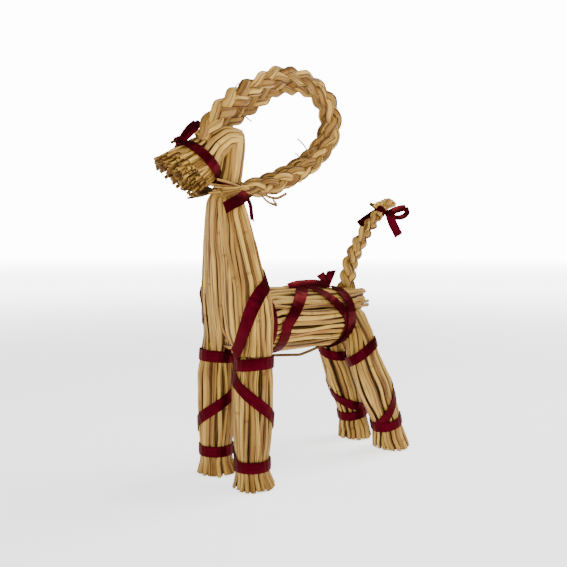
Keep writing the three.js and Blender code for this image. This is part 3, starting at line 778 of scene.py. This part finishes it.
def straw_material():
    """The straw finish in the chosen colours, made the first time that it is asked for."""
    s = bpy.context.scene.goat_straw
    return bpy.data.materials.get("dry_straw") or straw_finish(*map(tuple, (s.pale, s.golden, s.brown)))


def satin_material():
    """The satin finish in the chosen colours, made the first time that it is asked for."""
    s = bpy.context.scene.goat_ribbon
    return bpy.data.materials.get("burgundy_satin") or satin_finish(*map(tuple, (s.colour, s.deep)))


# ---- straw pieces -------------------------------------------------------------------------------

ALONG = (0, 1, 0)
foreleg, neck, chest, trunk, rump, tuft = map(Bundle, (FORELEG, NECK, CHEST, BODY, RUMP, TUFT))
hind_left, hind_right = Bundle(HIND_LEFT, ALONG), Bundle(HIND_RIGHT, ALONG)
hind = Bundle([*HIND_LEFT, HIND_CROWN, *turned_over(HIND_RIGHT[::-1])], ALONG)


def up_neck(height):
    """The neck's u at a height on its way up."""
    return neck.where(2, height, NECK_STANDING)


def fitting(girth, size):
    """How many straws of a size in millimetres fit side by side round the widest of the girths."""
    return int(girth.max() / (size * MM))


def merged_into_legs(straws):
    """Brings the lower ends of the neck's straws onto the two legs: below the shoulders each point
    moves to the leg on its side, at the angle at which it lies from that leg's middle."""
    lower, shoulder = 116, 150
    z = straws.paths[..., 2] / MM
    side = np.sign(straws.paths[..., :1] - PLACE[0] + 1e-9)
    own = straws.paths.copy()
    own[..., :1] = (own[..., :1] - PLACE[0]) * side + PLACE[0]
    u = foreleg.where(2, np.clip(z, lower - 4, shoulder))
    away = own - foreleg.section(u)[0][..., :3]
    on_leg = foreleg.outside(u, np.arctan2(away[..., 1], away[..., 0]), straws.lift)
    on_leg[..., :1] = (on_leg[..., :1] - PLACE[0]) * side + PLACE[0]
    on_leg[..., 2] = own[..., 2]
    share = ease(z, lower + 6, shoulder)[..., None]
    straws.paths = straws.paths * share + on_leg * (1 - share)
    return straws


def neck_straws(rng, size):
    """The straws of the neck: many slip under others as it narrows, most end at the tie, and the rest
    fold forwards at the top of the head and run into the muzzle's band."""
    folded_share, folded_end, tied_height, shoulders = 0.37, 15.6 / NECK_SPANS, 279, slice(10, 30)
    count = fitting(neck.girth[shoulders], size)
    rank = (np.arange(count) * GOLDEN_SHARE) % 1
    tied = up_neck(tied_height) + rng.uniform(-0.012, 0.008, count)
    last = np.where(rank < folded_share, folded_end, tied)
    return [merged_into_legs(lay(neck, count, 0.0, last, rng, size, samples=76)),
            merged_into_legs(lay(neck, count, 0.0, np.minimum(last, 0.9), rng, size, depth=3.4,
                                 painted_shade=UNDER_SHADE, samples=60))]


def muzzle_straws(rng):
    """The muzzle: straws that fill its section from the band to their cut ends. They are spread evenly
    over the section by the golden angle, and those on the left side are cut shorter."""
    count, samples, half_width = 125, 14, 1.85
    index = np.arange(count)
    share = np.sqrt((index + 0.5) / count)
    angle = index * GOLDEN_ANGLE + 0.05 * rng.standard_normal(count)
    left, low = share * np.cos(angle), -share * np.sin(angle)
    cut = 13 * ease(left, -0.25, 0.85) + 3 * ease(low, 0.2, 1) * ease(left, -0.5, 0.5)
    cut = cut + 8 * rng.random(count) ** 1.6
    last = 1 - cut / MUZZLE_LENGTH / NECK_SPANS
    u = MUZZLE_START + (last - MUZZLE_START)[:, None] * np.linspace(0, 1, samples)
    reach = (share * 0.93)[:, None] + 0.02 * ripple(rng, count, samples, (0.8, 1.7))
    wobble = angle[:, None] + 0.05 * ripple(rng, count, samples, (0.6, 1.3))
    wide = half_width * MM * rng.uniform(0.82, 1.15, (count, 1))
    thick = wide * rng.uniform(0.7, 0.95, (count, 1))
    # Their painted shade goes up to 1.5, lightening the muzzle's straws against the painted shade on
    # their flanks.
    return Straws(neck.within(u, reach, wobble), neck.facing(u, wobble), wide, thick, rng.random(count),
                  rng.uniform(0.9, 1.5, count))


def foot_straws(shape, counts, first, last, rng, size):
    """The layers inside a foot, whose cut ends show."""
    return [lay(shape, count, first, last, rng, size, depth=depth, painted_shade=FOOT_SHADE, samples=12,
                dives=False) for count, depth in zip(counts, FOOT_DEPTHS)]


def foreleg_straws(rng, size, top):
    """The straws round one foreleg: an outer layer, ones under it darkened by painted shade, and more
    layers inside the foot. The first two dive inwards above the knee's ribbon."""
    knee, above_knee, dive = 118, 130, 3.5
    count = fitting(foreleg.girth[: int(top * (GRID - 1))], size)
    sets = [lay(foreleg, count, 0.0, top, rng, size, samples=44, dives=False),
            lay(foreleg, count - 3, 0.0, top, rng, size, depth=3.6, painted_shade=UNDER_SHADE, samples=30,
                dives=False)]
    for s in sets:
        sunk = ease(s.paths[..., 2] / MM, knee, above_knee)[..., None]
        s.paths = s.paths - s.facing * sunk * dive * MM
    return sets + foot_straws(foreleg, (count - 6, count - 12, 4), 0.0, 0.3, rng, size)


class StrawMaker:
    """What the operators that make straw pieces share."""

    bl_options = {"REGISTER", "UNDO"}

    def start(self, seed):
        """The draws, the straw's width and an empty pile."""
        return np.random.default_rng(seed), bpy.context.scene.goat_straw.width, Pile()

    def done(self, pile, name, node):
        """Turns the pile into the piece that stands for the node."""
        pile.piece(name, node, "straw", straw_material())
        return {"FINISHED"}


class GOAT_OT_neck(StrawMaker, bpy.types.Operator):
    """Makes the neck with its head, muzzle and two forelegs"""

    bl_idname = "goat.neck"
    bl_label = "Neck and forelegs"

    def execute(self, context):
        rng, size, pile = self.start(seed=11)
        top = foreleg.where(2, KNEE_TOP)
        for turned in (False, True):
            sets = foreleg_straws(rng, size, top)
            outer, *others = map(mirrored, sets) if turned else sets
            pile.straws(outer, floor=0.0)
            pile.straws(*others, sides=6, floor=0.0)
        for stations in (FORELEG, turned_over(FORELEG)):
            pile.core(Bundle(stations), 0.02, top)
        outer, inner = neck_straws(rng, size)
        pile.straws(outer)
        pile.straws(inner, sides=6)
        pile.straws(muzzle_straws(rng), sides=8)
        pile.straws(stalk([[-6, -87, 327], [-7, -93, 324.8], [-8, -98, 323]], (0, 0, 1), 1.7, 1.4, 0.5))
        # Short straws between the forelegs, darkened by painted shade as they lie in the shade under
        # the neck.
        for x in (-9, -5.4, -1.8, 1.8, 5.4, 9):
            between_legs = [[x, -38, 176], [x, -41, 152], [0.9 * x, -37.5, 128 + rng.uniform(-3, 3)]]
            pile.straws(stalk(between_legs, (0, -1, 0.2), 2.4, 2, rng.random(), rng.uniform(0.5, 0.85)))
        core_top, fold_low, fold_end = 276, 270, 16.2 / NECK_SPANS
        # The neck's main plug gets full painted shade, black, so that its end between the legs looks
        # like a dark hollow.
        pile.core(neck, 0.025, up_neck(core_top), lift=-7.5, painted_shade=0.0)
        pile.core(neck, up_neck(fold_low), fold_end, lift=-5.5)
        return self.done(pile, "straw_neck_and_forelegs", "neck_and_forelegs")


BELLY_STRAW = [[10, -6, 120.3], [10, 20, 118.2], [10, 40, 116.4], [10, 44.5, 116.2], [10, 49, 117],
               [9.5, 66, 120.3], [9, 84, 125.5]]


class GOAT_OT_body(StrawMaker, bpy.types.Operator):
    """Makes the body's bundle, its ragged rump and the loose straw under the belly"""

    bl_idname = "goat.body"
    bl_label = "Body"

    def execute(self, context):
        rng, size, pile = self.start(seed=23)
        count = fitting(trunk.girth, size)
        first = trunk.where(1, -9.4 + rng.uniform(-1, 1.5, count))
        last = trunk.where(1, rng.uniform(99, 106, count))
        pile.straws(lay(trunk, count, first, last, rng, size, depth=-1.0, samples=48, dives=False))
        pile.straws(lay(trunk, count - 3, 0.01, 0.92, rng, size, depth=3.5, painted_shade=UNDER_SHADE,
                        dives=False))
        pile.core(trunk, 0.02, 0.92)
        coarse = 6.4
        outer = fitting(rump.girth, coarse)
        # The rump's layers: an outer one and two inner ones that are darkened by painted shade.
        for count, first, ends, wide, depth, painted_shade, samples in (
            (outer, -0.1, (0.5, 0.97), coarse, 0.0, 1.0, 20),
            (outer - 6, 0.0, (0.6, 0.97), 6, 3.8, 0.7, 20),
            (7, 0.0, (0.6, 0.95), size, 8, 0.8, 16),
        ):
            pile.straws(lay(rump, count, first, rng.uniform(*ends, count), rng, wide, depth=depth,
                            painted_shade=painted_shade, samples=samples, dives=False, wander=0.15, rough=0.3))
        pile.straws(stalk(BELLY_STRAW, (0, 0, 1), 1.7, 1.6, 0.9, 0.7, samples=40))
        return self.done(pile, "straw_body", "body_bundle")


class GOAT_OT_hind_legs(StrawMaker, bpy.types.Operator):
    """Makes the bundle that is bent down into the two hind legs"""

    bl_idname = "goat.hind_legs"
    bl_label = "Hind legs"

    def execute(self, context):
        rng, size, pile = self.start(seed=37)
        left_leg = slice(5, 30)
        count = fitting(hind.girth[left_leg], size)
        sets = [lay(hind, count, 0.0, 1.0, rng, size, samples=110),
                lay(hind, count - 3, 0.0, 1.0, rng, size, depth=3.6, painted_shade=UNDER_SHADE, samples=80)]
        for first, last in ((0.0, 0.1), (1.0, 0.9)):
            sets += foot_straws(hind, (count - 6, count - 12, count - 17), first, last, rng, size)
        pile.straws(*sets, floor=0.0)
        pile.core(hind, 0.02, 0.98, rings=90)
        return self.done(pile, "straw_hind_legs", "hind_legs")


# Loose straws on the left horn, each with its half width.
LOOSE_ON_HORN = (
    ([[14.5, 57, 313.5], [16, 50, 322], [17, 45, 328], [18, 41, 331], [18, 33, 336]], 0.8),
    ([[14.5, 54, 312], [16, 45, 316], [17, 38, 317.5], [18, 30, 321.7]], 0.7),
    ([[12, -43, 362.5], [12, -36, 356], [12, -28, 351.5], [11, -20, 348]], 0.9),
    ([[24, -22, 280], [25, -8, 275.5], [23, 3, 275.5], [22, 15, 280.5]], 1.5),
    ([[23, -18, 278], [24, -12, 272], [23, 2, 268.5], [24, -4, 273]], 1.4),
)


class GOAT_OT_horns(StrawMaker, bpy.types.Operator):
    """Makes the two plaited horns with their loose ends"""

    bl_idname = "goat.horns"
    bl_label = "Horns"

    def execute(self, context):
        for stations, side, name, seed in ((HORN_LEFT, 1, "horn_left", 41),
                                           (HORN_RIGHT, -1, "horn_right", 43)):
            rng, _, pile = self.start(seed)
            pile.straws(*plait(stations, rng, period=60), sides=8, crease=0.3)
            pile.straws(*strays(stations, rng, count=26), sides=5)
            for _ in range(14):
                a, b, c, d, e, f = rng.uniform(-1, 1, 6)
                path = [[side * 21, -18, 284 + 2 * a], [side * (23 + b), -33, 283 + 2.5 * c],
                        [side * (21 + 2 * b), -50 + 3 * d, 282 + 4 * e],
                        [side * (19 + 3 * b), -68 + 8 * d, 281.5 + 8 * e]]
                pile.straws(stalk(path, (side, 0.2 * f, f), 1.3, 0.6, rng.random(),
                                  rng.uniform(0.65, 1)), sides=8)
            for path, size in LOOSE_ON_HORN if side > 0 else ():
                pile.straws(stalk(path, (1, 0.2, 0.1), size, 0.7, 0.6, 0.4), sides=6)
            self.done(pile, "straw_" + name, name)
        return {"FINISHED"}


class GOAT_OT_tail(StrawMaker, bpy.types.Operator):
    """Makes the plaited tail and its tuft"""

    bl_idname = "goat.tail"
    bl_label = "Tail"

    def execute(self, context):
        rng, _, pile = self.start(seed=53)
        pile.straws(*plait(TAIL, rng, period=42), sides=8, crease=0.3)
        pile.straws(*strays(TAIL, rng, count=9), sides=5)
        for count, depth in ((13, 0.0), (8, 2.2), (3, 4.4)):
            pile.straws(lay(tuft, count, 0.0, rng.uniform(0.4, 0.5, count), rng, 3.6, depth=depth,
                            samples=22, dives=False, wander=0.2), sides=8)
        spread, out = np.array([0.63, 0.78, 0]), np.array([0.78, -0.63, 0])
        fan = ((-4, 0, 4, 7), (166, 180, 193, 198), (278, 283.5, 284, 278))  # x, y and z of the tips
        for k, share in enumerate(np.linspace(0, 1, 15)):
            side = (3.5 if k % 2 else -3.5) * rng.uniform(0.3, 1.2)
            tip = np.array([np.interp(share, (0, 0.35, 0.7, 1), row) for row in fan])
            tip += out * side - [0, 0, rng.uniform(0, 3.5)]
            foot = [0, 175, 263] + out * side * 0.5 + spread * 5 * (share - 0.5)
            waist = [0, 180, 270.5] + out * side * 0.6 + spread * 9 * (share - 0.5)
            pile.straws(stalk([foot, waist, tip], out * side / 5 + [0, 0, 0.3], rng.uniform(1.9, 2.5),
                              1.2, rng.random(), rng.uniform(0.8, 1.1), samples=16), sides=8)
        return self.done(pile, "straw_tail", "tail_plait")


# ---- ribbons ------------------------------------------------------------------------------------

DIP = 0.14  # how far a ribbon dips between the straws, in millimetres


def wound(pile, shape, u, degrees, width, lift, straws, joined=True):
    """A ribbon wound on a bundle through u and angle, lying on its outside and dipping a little between
    the straws."""
    angle = np.radians(degrees)
    path = shape.outside(u, angle, (lift + DIP * np.cos(straws * angle)) * MM)
    pile.strip(path, shape.facing(u, angle), width, joined)


def band(pile, shape, u, width, lift, straws=20, sway=0.0, towards=0.0):
    """A closed turn at u, tipped by sway along the bundle, furthest along it at the angle towards."""
    degrees = np.arange(0, 360, 3)
    wound(pile, shape, u + sway * np.cos(np.radians(degrees - towards)), degrees, width, lift, straws)


def spiral(pile, shape, knots, width):
    """A slanting turn through knots of height and degrees, even between them and rounded at each."""
    steps, reach = 110, 9
    heights, degrees = np.array(knots, float).T
    run = np.linspace(heights[0], heights[-1], steps)
    order = np.argsort(heights)
    turned = np.interp(run, heights[order], degrees[order])
    even = np.ones(2 * reach + 1) / (2 * reach + 1)
    turned = np.convolve(np.pad(turned, reach, mode="reflect", reflect_type="odd"), even, mode="valid")
    wound(pile, shape, shape.where(2, run), turned, width, 1.0, 20, joined=False)


def strap(pile, points, facing, width, samples=26, skew=(0, 0), curl=0.0):
    """A free end or a loop of ribbon through layout points. Its way of facing may turn evenly."""
    path, _ = through(points, samples)
    ways = np.atleast_2d(np.array(facing, float))
    share, knots = np.linspace(0, 1, samples), np.linspace(0, 1, len(ways))
    ways = unit(np.column_stack([np.interp(share, knots, column) for column in ways.T]))
    waved = placed(path) + ways * (curl * MM * np.sin(share * 3.4 * np.pi))[:, None]
    pile.strip(waved, ways, width, thick=0.35, cup=0.5, skew=skew)


def knot(shape, u, degrees, lift=1.2):
    """The layout point on a band where a strap starts."""
    return (shape.outside(u, np.radians(degrees), lift * MM) - PLACE) / MM


def lump(pile, at, size, along=(1, 0, 0)):
    """A knot: a short ribbon wrapped once round a small ellipse."""
    angle = np.linspace(0, TURN, 28, endpoint=False)[:, None]
    along = unit(np.array(along, float))
    one = unit(np.cross(along, (0.13, 0.31, 0.94)))
    ways = [one * np.cos(angle), np.cross(along, one) * np.sin(angle)]
    path = placed(at) + (ways[0] * size[0] + ways[1] * size[1]) * MM
    pile.strip(path, ways[0] + ways[1], size[2], joined=True)


class RibbonMaker:
    """What the operators that wind ribbons share."""

    bl_options = {"REGISTER", "UNDO"}

    def wide(self):
        """The ribbon's width in millimetres."""
        return bpy.context.scene.goat_ribbon.width

    def done(self, pile, node):
        """Turns the pile into the piece that stands for the node, and mirrors what is on the right."""
        if node.endswith("leg_right"):
            pile.mirror()
        pile.piece("satin_" + node, node, "satin_ribbon", satin_material())


# A leg's ribbon goes through knots of height and degrees. A foreleg's knee band is tipped by a height,
# and a hind leg has the height of its knee band and the angle at which that is highest.
FORELEG_TURNS = {"left": ([(118.5, -150), (63, 49), (31, 229), (23, 268)], 2.2),
                 "right": ([(119.5, 16), (25, 408)], 0)}
HIND_TURNS = {"left": (hind_left, [(32, 180), (108, 490)], 115.5, -40),
              "right": (hind_right, [(32, 60), (107, 400)], 111.5, 240)}


class GOAT_OT_leg_ribbons(RibbonMaker, bpy.types.Operator):
    """Winds the ribbons of the four legs"""

    bl_idname = "goat.leg_ribbons"
    bl_label = "Leg ribbons"

    def execute(self, context):
        wide = self.wide()
        for name, (knots, tilt) in FORELEG_TURNS.items():
            pile = Pile()
            knee, tipped, ankle = foreleg.where(2, [knots[0][0], knots[0][0] + tilt, knots[-1][0]])
            spiral(pile, foreleg, knots, wide)
            band(pile, foreleg, knee, wide + 0.7, 1.35, sway=tipped - knee, towards=49)
            band(pile, foreleg, ankle, wide, 1.3)
            self.done(pile, "ribbon_foreleg_" + name)
        for name, (shape, knots, knee, high) in HIND_TURNS.items():
            pile = Pile()
            spiral(pile, shape, knots, wide)
            band(pile, shape, shape.where(2, knee), wide, 1.5, sway=0.048, towards=high)
            band(pile, shape, shape.where(2, knots[0][0]), wide, 1.3)
            self.done(pile, "ribbon_hindleg_" + name)
        return {"FINISHED"}


class GOAT_OT_body_ribbons(RibbonMaker, bpy.types.Operator):
    """Winds the ribbons round the chest and the body"""

    bl_idname = "goat.body_ribbons"
    bl_label = "Chest and body ribbons"

    def execute(self, context):
        wide = self.wide()
        pile = Pile()
        low, rise, falls_over = 126, 78, 62
        share = np.linspace(0, 1, 160, endpoint=False)
        front = 360 * np.abs(share - 0.5)
        near = np.maximum(front - 14 * (1 - ease(front, 10, 75)), 0)
        front = np.where(share > 0.5, near, front)
        climb = 1 - np.exp(-((front / falls_over) ** 1.25))
        under = ease(share, 0.4, 0.43) * (1 - ease(share, 0.525, 0.54))
        close = ease(share, 0.3, 0.36) * (1 - ease(share, 0.4, 0.43))
        wound(pile, chest, chest.where(2, low + rise * climb), 360 * share + 90, wide + 2.5,
              1.1 - 17 * under - 1.6 * close, straws=34)
        strap(pile, [[0, -17.6, 204], [0, -14, 194], [0, -10.4, 187.2], [0, -2, 186.3]], (0, 0.6, 0.8),
              wide)
        band(pile, trunk, trunk.where(1, -10.8), 7, 2.2, straws=32)
        self.done(pile, "ribbon_chest")
        pile = Pile()
        share = np.linspace(0, 1, 150, endpoint=False)
        for top, belly, reached, lift in ((56, 6, 95, 2.1), (48, 94, 90, 2.4)):
            down = np.minimum(360 * np.abs(share - 0.5) / reached, 1)
            u = trunk.where(1, top + (belly - top) * down)
            wound(pile, trunk, u, 360 * share + 90, wide + 2, lift, 32)
        band(pile, trunk, trunk.where(1, 98.5), wide + 4, 3, straws=32, sway=0.02, towards=-90)
        at = knot(trunk, trunk.where(1, 90), -90, 1.6)
        strap(pile, [[7, 31, 186.5], [6.5, 45, 189], [6, 62, 189.6], [4, 88, 187]], (0.85, -0.2, 0.5),
              9, curl=0.6)
        strap(pile, [at, [1, 88, 191], [3, 79, 199]], [(0.6, -0.5, 0.6), (1, -0.3, 0.2)], 10,
              skew=(0, 5), curl=0.5)
        strap(pile, [at, [2, 92, 192], [4, 96, 202]], [(0.6, -0.6, 0.5), (1, -0.6, 0)], 9,
              skew=(0, -5), curl=0.5)
        lump(pile, at + [0, 0, 1.5], (3.4, 2.6, 6))
        self.done(pile, "ribbon_body")
        return {"FINISHED"}


class GOAT_OT_bows(RibbonMaker, bpy.types.Operator):
    """Ties the ribbons of the muzzle, the horns and the tail"""

    bl_idname = "goat.bows"
    bl_label = "Muzzle, horn and tail ribbons"

    def execute(self, context):
        wide = self.wide()
        pile = Pile()
        band(pile, neck, MUZZLE_BAND, wide, 0.9, straws=22, sway=0.01, towards=-45)
        at = knot(neck, MUZZLE_BAND, 100)
        strap(pile, [at, [-6, -80, 337], [-6, -72, 343.5]], (0.7, -0.5, 0.4), 7)
        strap(pile, [[-6.2, -72.6, 342.9], [-5, -72.4, 343], [-2, -74, 340], at], (0.7, -0.5, 0.4), 7)
        strap(pile, [at, [-5, -90, 328], [-7, -96, 325.5]], (0.7, -0.5, 0.5), 3, skew=(0, 3))
        lump(pile, at, (2.6, 2.2, 5), along=(1, 0.3, 0))
        self.done(pile, "ribbon_muzzle")
        pile = Pile()
        tie = up_neck(TIE)
        band(pile, neck, tie, 8, 0.6, straws=14)
        over_temple = [knot(neck, tie, 60), [17, -28, 281], [24, -36, 278], [27, -46, 272],
                       [26, -54, 268], [24, -62, 263.5]]
        strap(pile, over_temple, [(0.8, 0.3, 0.4), (0.8, -0.4, 0.2)], wide, skew=(0, 3), samples=40)
        strap(pile, [knot(neck, tie, 65), [13, -25, 272], [15, -22.5, 253]], (0.9, -0.3, 0.2), 4,
              skew=(0, 3))
        self.done(pile, "ribbon_horns")
        pile = Pile()
        band(pile, tuft, TAIL_BAND, 8, 0.6, straws=9)
        at = np.array([7.0, 186, 266.5])
        strap(pile, [at, [8, 203.5, 272], [9, 214, 273.5]], (0.8, -0.7, 0.3), 8.5)
        strap(pile, [[9, 213.5, 273.8], [9.5, 215.5, 268], [9, 209, 263], [8, 195, 262], at],
              (0.8, -0.6, 0.4), 6.5)
        strap(pile, [at, [9, 190, 255], [11, 199, 240.5]], (1, -0.7, 0), wide, curl=0.5)
        strap(pile, [[-4, 176, 267], [-6, 163, 260], [-7, 149.5, 252.5]], (1, -0.7, 0), 9.5)
        lump(pile, at, (3.6, 3.2, 6), along=(1, 0, 0.3))
        self.done(pile, "ribbon_tail")
        return {"FINISHED"}


# ---- stage --------------------------------------------------------------------------------------

FLOOR_REACH = 30.0
FLOOR_DROP = 0.0002
FLOOR_GLOW = (1.8, 6, 14)  # close to the goat, further off and far away
FLOOR_STEPS = ((0.6, 3.2), (3.2, 12))  # the distances between which it changes
ROOM_GLOW = (0.22, 14)  # what lights the goat, and what the camera sees
LIT_POINT = Vector((0, 0, 0.2))
# Each light's place, its size and its power as a share of the key light's setting.
LIGHTS = {"key": ((1.0, -0.9, 1.3), 0.6, 1.25), "top": ((0.3, 0.9, 1.6), 0.9, 3),
          "fill": ((-1.2, -1.0, 0.8), 1.0, 0.3)}
CAMERA_PLACE = (544.0, -440.5, 231.29)
CAMERA_DIP = 3.27
CAMERA_TURN = 49.14
SENSOR = 36


def grey(level):
    """A grey that may be brighter than white."""
    return (level, level, level, 1)


class GOAT_OT_stage(bpy.types.Operator):
    """Sets the pale floor, the soft lights and the camera"""

    bl_idname = "goat.stage"
    bl_label = "Stage"
    bl_options = {"REGISTER", "UNDO"}

    def floor(self, scene):
        """A wide floor, which glows more the further off it is."""
        finish = Finish("pale_floor")
        place = finish.node("ShaderNodeTexCoord", output=3)
        far = finish.node("ShaderNodeVectorMath", {"operation": "LENGTH"}, {0: place}, output=1)
        glow = grey(FLOOR_GLOW[0])
        for (near, off), level in zip(FLOOR_STEPS, FLOOR_GLOW[1:]):
            glow = finish.blend(far.between(near, off), glow, grey(level))
        finish.finished({"Base Color": tuple(scene.goat_stage.floor), "Roughness": 0.7,
                         "Specular IOR Level": 0.1, "Emission Color": glow, "Emission Strength": 1.0})
        r = FLOOR_REACH
        corners = [(-r, -r, 0), (r, -r, 0), (r, r, 0), (-r, r, 0)]
        mesh = bpy.data.meshes.new("floor")
        mesh.from_pydata(corners, [], [(0, 1, 2, 3)])
        mesh.materials.append(finish.material)
        floor = bpy.data.objects.new("floor", mesh)
        floor.location.z = -FLOOR_DROP
        scene.collection.objects.link(floor)
        floor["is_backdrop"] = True

    def room(self, scene):
        """A pale room, brighter to the camera than to the goat."""
        world = bpy.data.worlds.new("pale_room")
        world.use_nodes = True
        tree = world.node_tree
        seen = tree.nodes.new("ShaderNodeLightPath")
        level = tree.nodes.new("ShaderNodeMapRange")
        level.inputs["To Min"].default_value, level.inputs["To Max"].default_value = ROOM_GLOW
        tree.links.new(seen.outputs["Is Camera Ray"], level.inputs[0])
        tree.nodes["Background"].inputs[0].default_value = grey(1)
        tree.links.new(level.outputs[0], tree.nodes["Background"].inputs[1])
        scene.world = world

    def execute(self, context):
        scene = context.scene
        self.floor(scene)
        self.room(scene)
        for name, (at, size, share) in LIGHTS.items():
            light = bpy.data.lights.new(name, "AREA")
            light.size, light.energy = size, scene.goat_stage.key * share
            made = bpy.data.objects.new(name, light)
            made.location = at
            made.rotation_euler = (LIT_POINT - Vector(at)).to_track_quat("-Z", "Y").to_euler()
            scene.collection.objects.link(made)
        camera = bpy.data.cameras.new("camera")
        camera.lens = scene.goat_stage.lens
        camera.sensor_width = SENSOR
        made = bpy.data.objects.new("camera", camera)
        made.location = placed(CAMERA_PLACE)
        made.rotation_euler = np.radians([90 - CAMERA_DIP, 0, CAMERA_TURN])
        scene.collection.objects.link(made)
        scene.camera = made
        return {"FINISHED"}


class GOAT_PT_panel(bpy.types.Panel):
    """Lists the goat's settings and the operators that make its pieces"""

    bl_label = "Straw Goat"
    bl_idname = "GOAT_PT_panel"
    bl_space_type = "VIEW_3D"
    bl_region_type = "UI"
    bl_category = "Straw Goat"

    def draw(self, context):
        for group in ("goat_straw", "goat_ribbon", "goat_stage"):
            settings = getattr(context.scene, group)
            for name in settings.bl_rna.properties.keys():
                if name not in ("rna_type", "name"):
                    self.layout.prop(settings, name)
        for operator in OPERATORS:
            self.layout.operator(operator.bl_idname)


SETTINGS = {"goat_straw": StrawSettings, "goat_ribbon": RibbonSettings, "goat_stage": StageSettings}
OPERATORS = [GOAT_OT_stage, GOAT_OT_neck, GOAT_OT_body, GOAT_OT_hind_legs, GOAT_OT_horns, GOAT_OT_tail,
             GOAT_OT_leg_ribbons, GOAT_OT_body_ribbons, GOAT_OT_bows]


def register():
    """Makes the settings, the operators and the panel known to Blender."""
    for group, kind in SETTINGS.items():
        bpy.utils.register_class(kind)
        setattr(bpy.types.Scene, group, bpy.props.PointerProperty(type=kind))
    for kind in [*OPERATORS, GOAT_PT_panel]:
        bpy.utils.register_class(kind)


def unregister():
    """Takes them away again."""
    for kind in [GOAT_PT_panel, *OPERATORS[::-1]]:
        bpy.utils.unregister_class(kind)
    for group, kind in SETTINGS.items():
        delattr(bpy.types.Scene, group)
        bpy.utils.unregister_class(kind)


def main():
    """Makes every piece."""
    register()
    bpy.ops.goat.stage()
    bpy.ops.goat.neck()
    bpy.ops.goat.body()
    bpy.ops.goat.hind_legs()
    bpy.ops.goat.horns()
    bpy.ops.goat.tail()
    bpy.ops.goat.leg_ribbons()
    bpy.ops.goat.body_ribbons()
    bpy.ops.goat.bows()
    bpy.context.view_layer.update()


if __name__ == "__main__":
    main()
